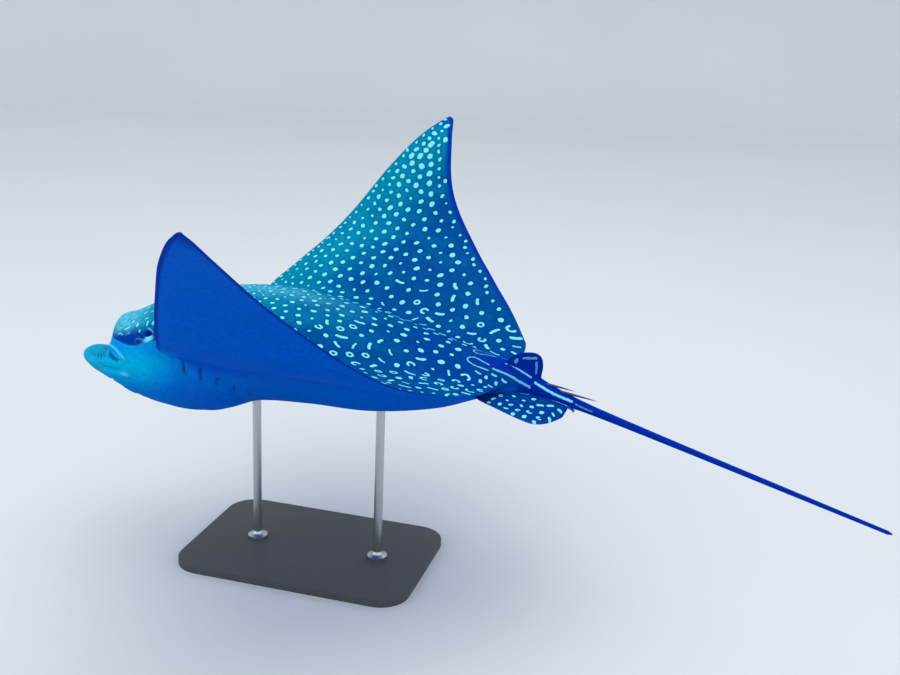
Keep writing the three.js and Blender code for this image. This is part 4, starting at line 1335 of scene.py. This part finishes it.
def ray_skin():
    """Smooth scaleless skin under a thin film of slime: satin flesh with a clear soft gloss."""
    material, tree, shader = new_material(
        "scaleless_ray_skin", Coat_Weight=0.025, Coat_Roughness=0.25, Coat_IOR=1.34, IOR=1.38,
        Specular_IOR_Level=0.0, Specular_Tint=WATER_BLUE)
    flat = add(tree, "Attribute", attribute_name="flat_place").outputs["Vector"]
    zone = {name: add(tree, "Attribute", attribute_name="skin_" + name).outputs["Fac"]
            for name in ("upper", "mask", "teal", "navy", "margin", "tail", "throat", "crown", "lobe",
                         "relief", "rim")}
    # cloudy patches 70 mm across, mottling of 9 mm, ragged edges of 5 mm, and a grain of 2 mm,
    # finer than the eye meets
    cloud, mottle, ragged, grain = (
        add(tree, "TexNoise", {"Vector": flat, "Scale": 1 / size, "Detail": detail}).outputs["Fac"]
        for size, detail in ((70, 3), (9, 4), (5, 1), (2.2, 2)))
    roughen = add(tree, "MapRange", {0: ragged, 3: -1.4, 4: 1.4}).outputs[0]
    spot, spot_shade = mark_cover(tree, "spot", roughen)
    line, line_shade = mark_cover(tree, "line", roughen)
    marked = add(tree, "Math", {0: spot, 1: line}, operation="MAXIMUM").outputs[0]
    around = add(tree, "Math", {0: spot_shade, 1: line_shade}, operation="MAXIMUM").outputs[0]

    cloudy = add(tree, "MapRange", {0: cloud, 1: 0.35, 2: 0.65, 3: -0.16, 4: 0.16}).outputs[0]
    teal = add(tree, "Math", {0: zone["teal"], 1: cloudy}, operation="ADD", use_clamp=True).outputs[0]
    patchy = add(tree, "MapRange", {0: mottle, 1: 0.25, 2: 0.75, 3: 0.45, 4: 1.15}).outputs[0]
    # the crown's green, which along the crest is a painted highlight
    green = add(tree, "Math", {0: patchy, 1: zone["crown"]}, operation="MULTIPLY", use_clamp=True).outputs[0]
    back = colour(WING_BLUE)
    # the navy along the rear of the spine is painted shade
    for cover, tint in ((teal, SHOULDER_TEAL), (zone["navy"], SPINE_SHADE_NAVY), (green, CROWN_GREEN),
                        (zone["mask"], MASK_NAVY)):
        back = add(tree, "Mix", {0: cover, 6: back, 7: colour(tint)}, data_type="RGBA").outputs[2]
    shade = add(tree, "MapRange", {0: around, 3: 1.0, 4: 0.78}).outputs[0]
    back = add(tree, "VectorMath", {0: back, "Scale": shade}, operation="SCALE").outputs[0]
    # the underside starts from its painted shade blue
    skin = colour(UNDER_SHADE_BLUE)
    for cover, tint in ((zone["throat"], colour(THROAT_PALE)), (zone["upper"], back),
                        (zone["lobe"], colour(LOBE_PALE)), (zone["margin"], colour(MARGIN_AND_HOLLOW_SHADE_NAVY)),
                        (zone["tail"], colour(TAIL_NAVY))):
        skin = add(tree, "Mix", {0: cover, 6: skin, 7: tint}, data_type="RGBA").outputs[2]
    # painted shade and highlight from the relief: hollows fall to navy, and ridges are lighter
    deep = add(tree, "MapRange", {0: zone["relief"], 1: -0.8, 2: -4.5, 4: 0.85}).outputs[0]
    skin = add(tree, "Mix", {0: deep, 6: skin, 7: colour(MARGIN_AND_HOLLOW_SHADE_NAVY)}, data_type="RGBA").outputs[2]
    # painted shade in hollows and painted highlight on ridges, times a random speckle
    sunk = add(tree, "MapRange", {0: zone["relief"], 1: -4.0, 2: 3.0, 3: 0.8, 4: 1.25}).outputs[0]
    speckle = add(tree, "MapRange", {0: mottle, 1: 0.3, 2: 0.7, 3: 0.88, 4: 1.12}).outputs[0]
    value = add(tree, "Math", {0: sunk, 1: speckle}, operation="MULTIPLY").outputs[0]
    skin = add(tree, "VectorMath", {0: skin, "Scale": value}, operation="SCALE").outputs[0]
    # the pale marks, and the painted highlights on the head's rims and edges
    pale = add(tree, "Math", {0: marked, 1: zone["rim"]}, operation="MAXIMUM").outputs[0]
    seen = add(tree, "Mix", {0: pale, 6: skin, 7: colour(MARK_PALE)}, data_type="RGBA").outputs[2]

    gloss = add(tree, "MapRange", {0: mottle, 1: 0.3, 2: 0.7, 3: 0.42, 4: 0.55}).outputs[0]
    folds = add(tree, "Bump", {"Strength": 0.5, "Distance": 0.0008, "Height": mottle}).outputs[0]
    pores = add(tree, "Bump", {"Strength": 0.5, "Distance": 0.0003, "Height": grain, "Normal": folds})
    drive(shader, Base_Color=seen, Roughness=gloss, Normal=pores.outputs[0])
    return material


def eye_glaze():
    """A wet eyeball: a wide navy pupil in a deep blue iris under a clear, polished surface."""
    material, tree, shader = new_material(
        "wet_eyeball", Roughness=0.3, IOR=1.38, Specular_IOR_Level=0.1, Specular_Tint=WATER_BLUE,
        Coat_Weight=0.05, Coat_Roughness=0.04, Coat_IOR=1.38)
    gaze = add(tree, "Attribute", attribute_name="gaze_place").outputs["Vector"]
    oval = add(tree, "VectorMath", {0: gaze, 1: (1.0, 1.25, 0.0)}, operation="MULTIPLY").outputs[0]
    off_axis = add(tree, "VectorMath", {0: oval}, operation="LENGTH").outputs["Value"]
    streaks = add(tree, "TexNoise", {"Vector": gaze, "Scale": 14.0, "Detail": 4}).outputs["Fac"]
    tints = {0: streaks, 6: colour("#083e7e"), 7: colour("#1262a4")}
    iris = add(tree, "Mix", tints, data_type="RGBA").outputs[2]
    in_iris = add(tree, "MapRange", {0: off_axis, 1: 0.3, 2: 0.34}).outputs[0]
    past_iris = add(tree, "MapRange", {0: off_axis, 1: 0.66, 2: 0.76}).outputs[0]
    seen = add(tree, "Mix", {0: in_iris, 6: colour("#04245c"), 7: iris}, data_type="RGBA").outputs[2]
    seen = add(tree, "Mix", {0: past_iris, 6: seen, 7: colour("#05306a")}, data_type="RGBA").outputs[2]
    drive(shader, Base_Color=seen)
    return material


def spine_dentine():
    """Hard dentine of the tail spines, navy like the tail and darker along its grooves."""
    material, tree, shader = new_material("spine_dentine", IOR=1.54)
    place = add(tree, "TexCoord").outputs["Object"]
    # grooves about 1.2 mm apart, drawn a little coarser than real so that they show
    streak = add(tree, "TexNoise", {"Vector": place, "Scale": METRE / 1.8, "Detail": 3}).outputs["Fac"]
    tints = {0: streak, 6: colour("#041f60"), 7: colour("#16408a")}
    tone = add(tree, "Mix", tints, data_type="RGBA").outputs[2]
    rough = add(tree, "MapRange", {0: streak, 3: 0.35, 4: 0.55}).outputs[0]
    relief = add(tree, "Bump", {"Strength": 0.6, "Distance": 0.0003, "Height": streak}).outputs[0]
    drive(shader, Base_Color=tone, Roughness=rough, Normal=relief)
    return material


def powder_coat():
    """Powder-coated steel plate: dark grey with the fine orange-peel of baked powder."""
    material, tree, shader = new_material("powder_coated_steel", IOR=1.5)
    place = add(tree, "TexCoord").outputs["Object"]
    # the peel's bumps are 0.6 mm across; drawn at 1.6 mm so that they show
    peel = add(tree, "TexNoise", {"Vector": place, "Scale": METRE / 1.6, "Detail": 2}).outputs["Fac"]
    dust = add(tree, "TexNoise", {"Vector": place, "Scale": METRE / 45, "Detail": 3}).outputs["Fac"]
    tints = {0: dust, 6: colour("#34373b"), 7: colour("#44484c")}
    tone = add(tree, "Mix", tints, data_type="RGBA").outputs[2]
    rough = add(tree, "MapRange", {0: dust, 3: 0.5, 4: 0.62}).outputs[0]
    relief = add(tree, "Bump", {"Strength": 0.5, "Distance": 0.0002, "Height": peel}).outputs[0]
    drive(shader, Base_Color=tone, Roughness=rough, Normal=relief)
    return material


def satin_steel():
    """Turned stainless rod, brushed round its axis: fine rings that stretch the highlights."""
    material, tree, shader = new_material("satin_stainless_steel", Metallic=1.0, Anisotropic=0.4)
    place = add(tree, "TexCoord").outputs["Object"]
    # brushing lines 0.3 mm apart, drawn at 0.8 mm so that they show
    stretch = (METRE / 30, METRE / 30, METRE / 0.8)
    brushed = add(tree, "Mapping", {"Vector": place, "Scale": stretch}).outputs[0]
    lines = add(tree, "TexNoise", {"Vector": brushed, "Scale": 1.0, "Detail": 2}).outputs["Fac"]
    tints = {0: lines, 6: colour("#a9adb0"), 7: colour("#c3c7ca")}
    tone = add(tree, "Mix", tints, data_type="RGBA").outputs[2]
    rough = add(tree, "MapRange", {0: lines, 3: 0.26, 4: 0.4}).outputs[0]
    drive(shader, Base_Color=tone, Roughness=rough)
    return material


# ---------- the animal ----------

def linked(name, mesh):
    piece = bpy.data.objects.new(name, mesh)
    bpy.context.scene.collection.objects.link(piece)
    return piece


def make_skin():
    """One skin over head, trunk, wings, fins and tail."""
    skin = linked("ray_skin", body_and_wings())
    join_fins(skin)
    flat, relief = sculpt(skin)
    dress(skin, flat, relief)
    bake_map(skin, flat)
    put_places(skin.data, flex(places_of(skin.data)))
    skin.data.polygons.foreach_set("material_index", [0] * len(skin.data.polygons))
    finish_mesh(skin.data, ray_skin())
    skin.data.update()
    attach(skin, "root")
    flesh = [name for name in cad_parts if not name.startswith(("eye_", "sting_", "stand_"))]
    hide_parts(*flesh)


CORNEA_RISE = 0.03  # of the eyeball's radius


def make_eye(label, glaze):
    """An eyeball in its socket, with the cornea standing a little proud of it."""
    side = 1 if label == "left" else -1
    low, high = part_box("eye_" + label)
    radius = (high - low).z / 2
    centre = (low + high) / 2
    ball = bmesh.new()
    bmesh.ops.create_uvsphere(ball, u_segments=48, v_segments=32, radius=1)
    mesh = bpy.data.meshes.new("eyeball_" + label)
    ball.to_mesh(mesh)
    ball.free()
    unit = places_of(mesh)
    # the rear of the ball lies well past the iris
    write(mesh, "gaze_place", "POINT", np.where(unit[:, 2:] > 0, unit, [9, 9, 0]))
    cornea = 1 + CORNEA_RISE * bump(np.hypot(unit[:, 0], unit[:, 1]), 0.75) * (unit[:, 2] > 0)
    # the same turn that the pose gives to the head around the eye
    at = EYE_PLACE * np.array([side, 1, 1])
    gaze_flat = GAZE * np.array([side, 1, 1])
    near, far = flex([at, at + gaze_flat * 5])
    gaze = Vector(far - near).normalized()
    turn = np.array(gaze.to_track_quat("Z", "Y").to_matrix())
    put_places(mesh, (unit * cornea[:, None] * radius) @ turn.T + np.array(centre))
    finish_mesh(mesh, glaze)
    piece = linked("eyeball_" + label, mesh)
    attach(piece, "root")
    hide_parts("eye_" + label)


SPINES = (
    # name, stations, heights of root and tip, greatest width and tooth count
    ("long", 0.64, 0.693, 0.0055, 0.0135, 7.0, 26),
    ("short", 0.626, 0.664, 0.009, 0.0145, 6.0, 19),
)


def make_spine(label, start, end, root, tip, width, teeth, dentine):
    """A flat blade with a groove along its top and saw teeth that point back along both edges."""
    rows, columns = teeth * 4, 10
    s = np.linspace(0, 1, rows + 1)
    u = start + (end - start) * s
    blade = 1 - 0.9 * s**2
    tooth = 1 - 0.16 * ((s * teeth) % 1) * ease(0.05, 0.2, s) * ease(0, 0.06, 1 - s)
    centre = root + (tip - root) * s**0.8
    angle = np.linspace(0, 2 * np.pi, columns * 2, endpoint=False)
    across = 0.5 * width * blade[:, None] * tooth[:, None] * np.cos(angle)
    groove = 1 - 0.45 * np.exp(-((np.cos(angle) / 0.3) ** 2)) * (np.sin(angle) > 0)
    lift = 0.38 * width * blade[:, None] * np.sin(angle) * groove
    flat = np.stack([across, np.broadcast_to(u[:, None] * DISC_WIDTH, across.shape),
                     centre[:, None] * DISC_WIDTH + lift], -1)
    count = columns * 2
    mesh = bpy.data.meshes.new("serrated_spine_" + label)
    index = np.arange(flat.shape[0] * count).reshape(-1, count)
    after = np.roll(index, -1, axis=1)
    sides = np.stack([index[:-1], after[:-1], after[1:], index[1:]], -1).reshape(-1, 4)
    faces = [*map(tuple, sides[:, ::-1].tolist()), tuple(index[0].tolist()), tuple(index[-1, ::-1].tolist())]
    mesh.from_pydata(flex(flat.reshape(-1, 3)), [], faces)
    finish_mesh(mesh, dentine)
    piece = linked("serrated_spine_" + label, mesh)
    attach(piece, "root")
    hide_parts("sting_spine_" + label)


make_skin()
glaze = eye_glaze()
for label in ("left", "right"):
    make_eye(label, glaze)
dentine = spine_dentine()
for spine in SPINES:
    make_spine(*spine, dentine)


# ---------- stand ----------

def finish_stand():
    """The stand keeps its own shape, with a small round along the plate's edges."""
    coat, steel = powder_coat(), satin_steel()
    for name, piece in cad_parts.items():
        if not name.startswith("stand_"):
            continue
        finish_mesh(piece.data, coat if name == "stand_base" else steel)
        if name == "stand_base":
            rounding = piece.modifiers.new("rounded_edge", "BEVEL")
            rounding.width = 0.002
            rounding.segments = 3
            rounding.limit_method = "ANGLE"
            rounding.harden_normals = True
        else:
            crisp = piece.modifiers.new("crisp_shoulders", "EDGE_SPLIT")
            crisp.split_angle = math.radians(32)


finish_stand()


# ---------- floor and studio light ----------

def make_stage():
    """A pale floor that curves up into a backdrop far behind the animal."""
    reach, radius, height, steps = 9.0, 3.0, 9.0, 24
    wide = 4 * reach
    turns = np.linspace(0, math.pi / 2, steps)
    profile = [(-wide, 0), *((reach + radius * math.sin(t), radius * (1 - math.cos(t))) for t in turns)]
    profile.append((reach + radius, height))
    # the sweep rises on the side away from the camera, and runs well past the frame's edges
    facing = bpy.context.scene.camera.matrix_world.col[2]
    turn = math.atan2(-facing.y, -facing.x)
    places = [(x * math.cos(turn) - y * math.sin(turn), x * math.sin(turn) + y * math.cos(turn), z)
              for x, z in profile for y in (-wide, wide)]
    faces = [(2 * i, 2 * i + 1, 2 * i + 3, 2 * i + 2) for i in range(len(profile) - 1)]
    mesh = bpy.data.meshes.new("studio_sweep")
    mesh.from_pydata(places, [], faces)
    floor = linked("studio_sweep", mesh)
    material, tree, shader = new_material("matt_studio_paper", Roughness=0.9, Specular_IOR_Level=0.2)
    place = add(tree, "TexCoord").outputs["Object"]
    haze = add(tree, "TexNoise", {"Vector": place, "Scale": 0.8, "Detail": 2}).outputs["Fac"]
    tints = {0: haze, 6: colour("#cfd3d6"), 7: colour("#d4d8db")}
    tone = add(tree, "Mix", tints, data_type="RGBA").outputs[2]
    drive(shader, Base_Color=tone)
    finish_mesh(mesh, material)


def soft_lamp(name, place, power, size):
    """A square soft box aimed at the middle of the animal."""
    data = bpy.data.lights.new(name, "AREA")
    data.energy = power
    data.size = size
    lamp = linked(name, data)
    lamp.location = place
    aim = Vector((0, 0, RIDE_HEIGHT / METRE)) - Vector(place)
    lamp.rotation_euler = aim.to_track_quat("-Z", "Y").to_euler()


def light_studio():
    soft_lamp("soft_box_overhead", (-0.6, 0.2, 4.4), 62, 4.0)
    soft_lamp("soft_box_front", (2.2, -3.0, 2.2), 16, 2.4)
    soft_lamp("soft_box_rear", (2.4, 3.4, 2.0), 12, 2.4)
    world = bpy.data.worlds.new("studio")
    world.use_nodes = True
    sky = world.node_tree.nodes["Background"]
    sky.inputs["Color"].default_value = colour("#e9eef3")
    sky.inputs["Strength"].default_value = 1.16
    bpy.context.scene.world = world


make_stage()
light_studio()
bpy.context.scene.view_settings.view_transform = "Standard"
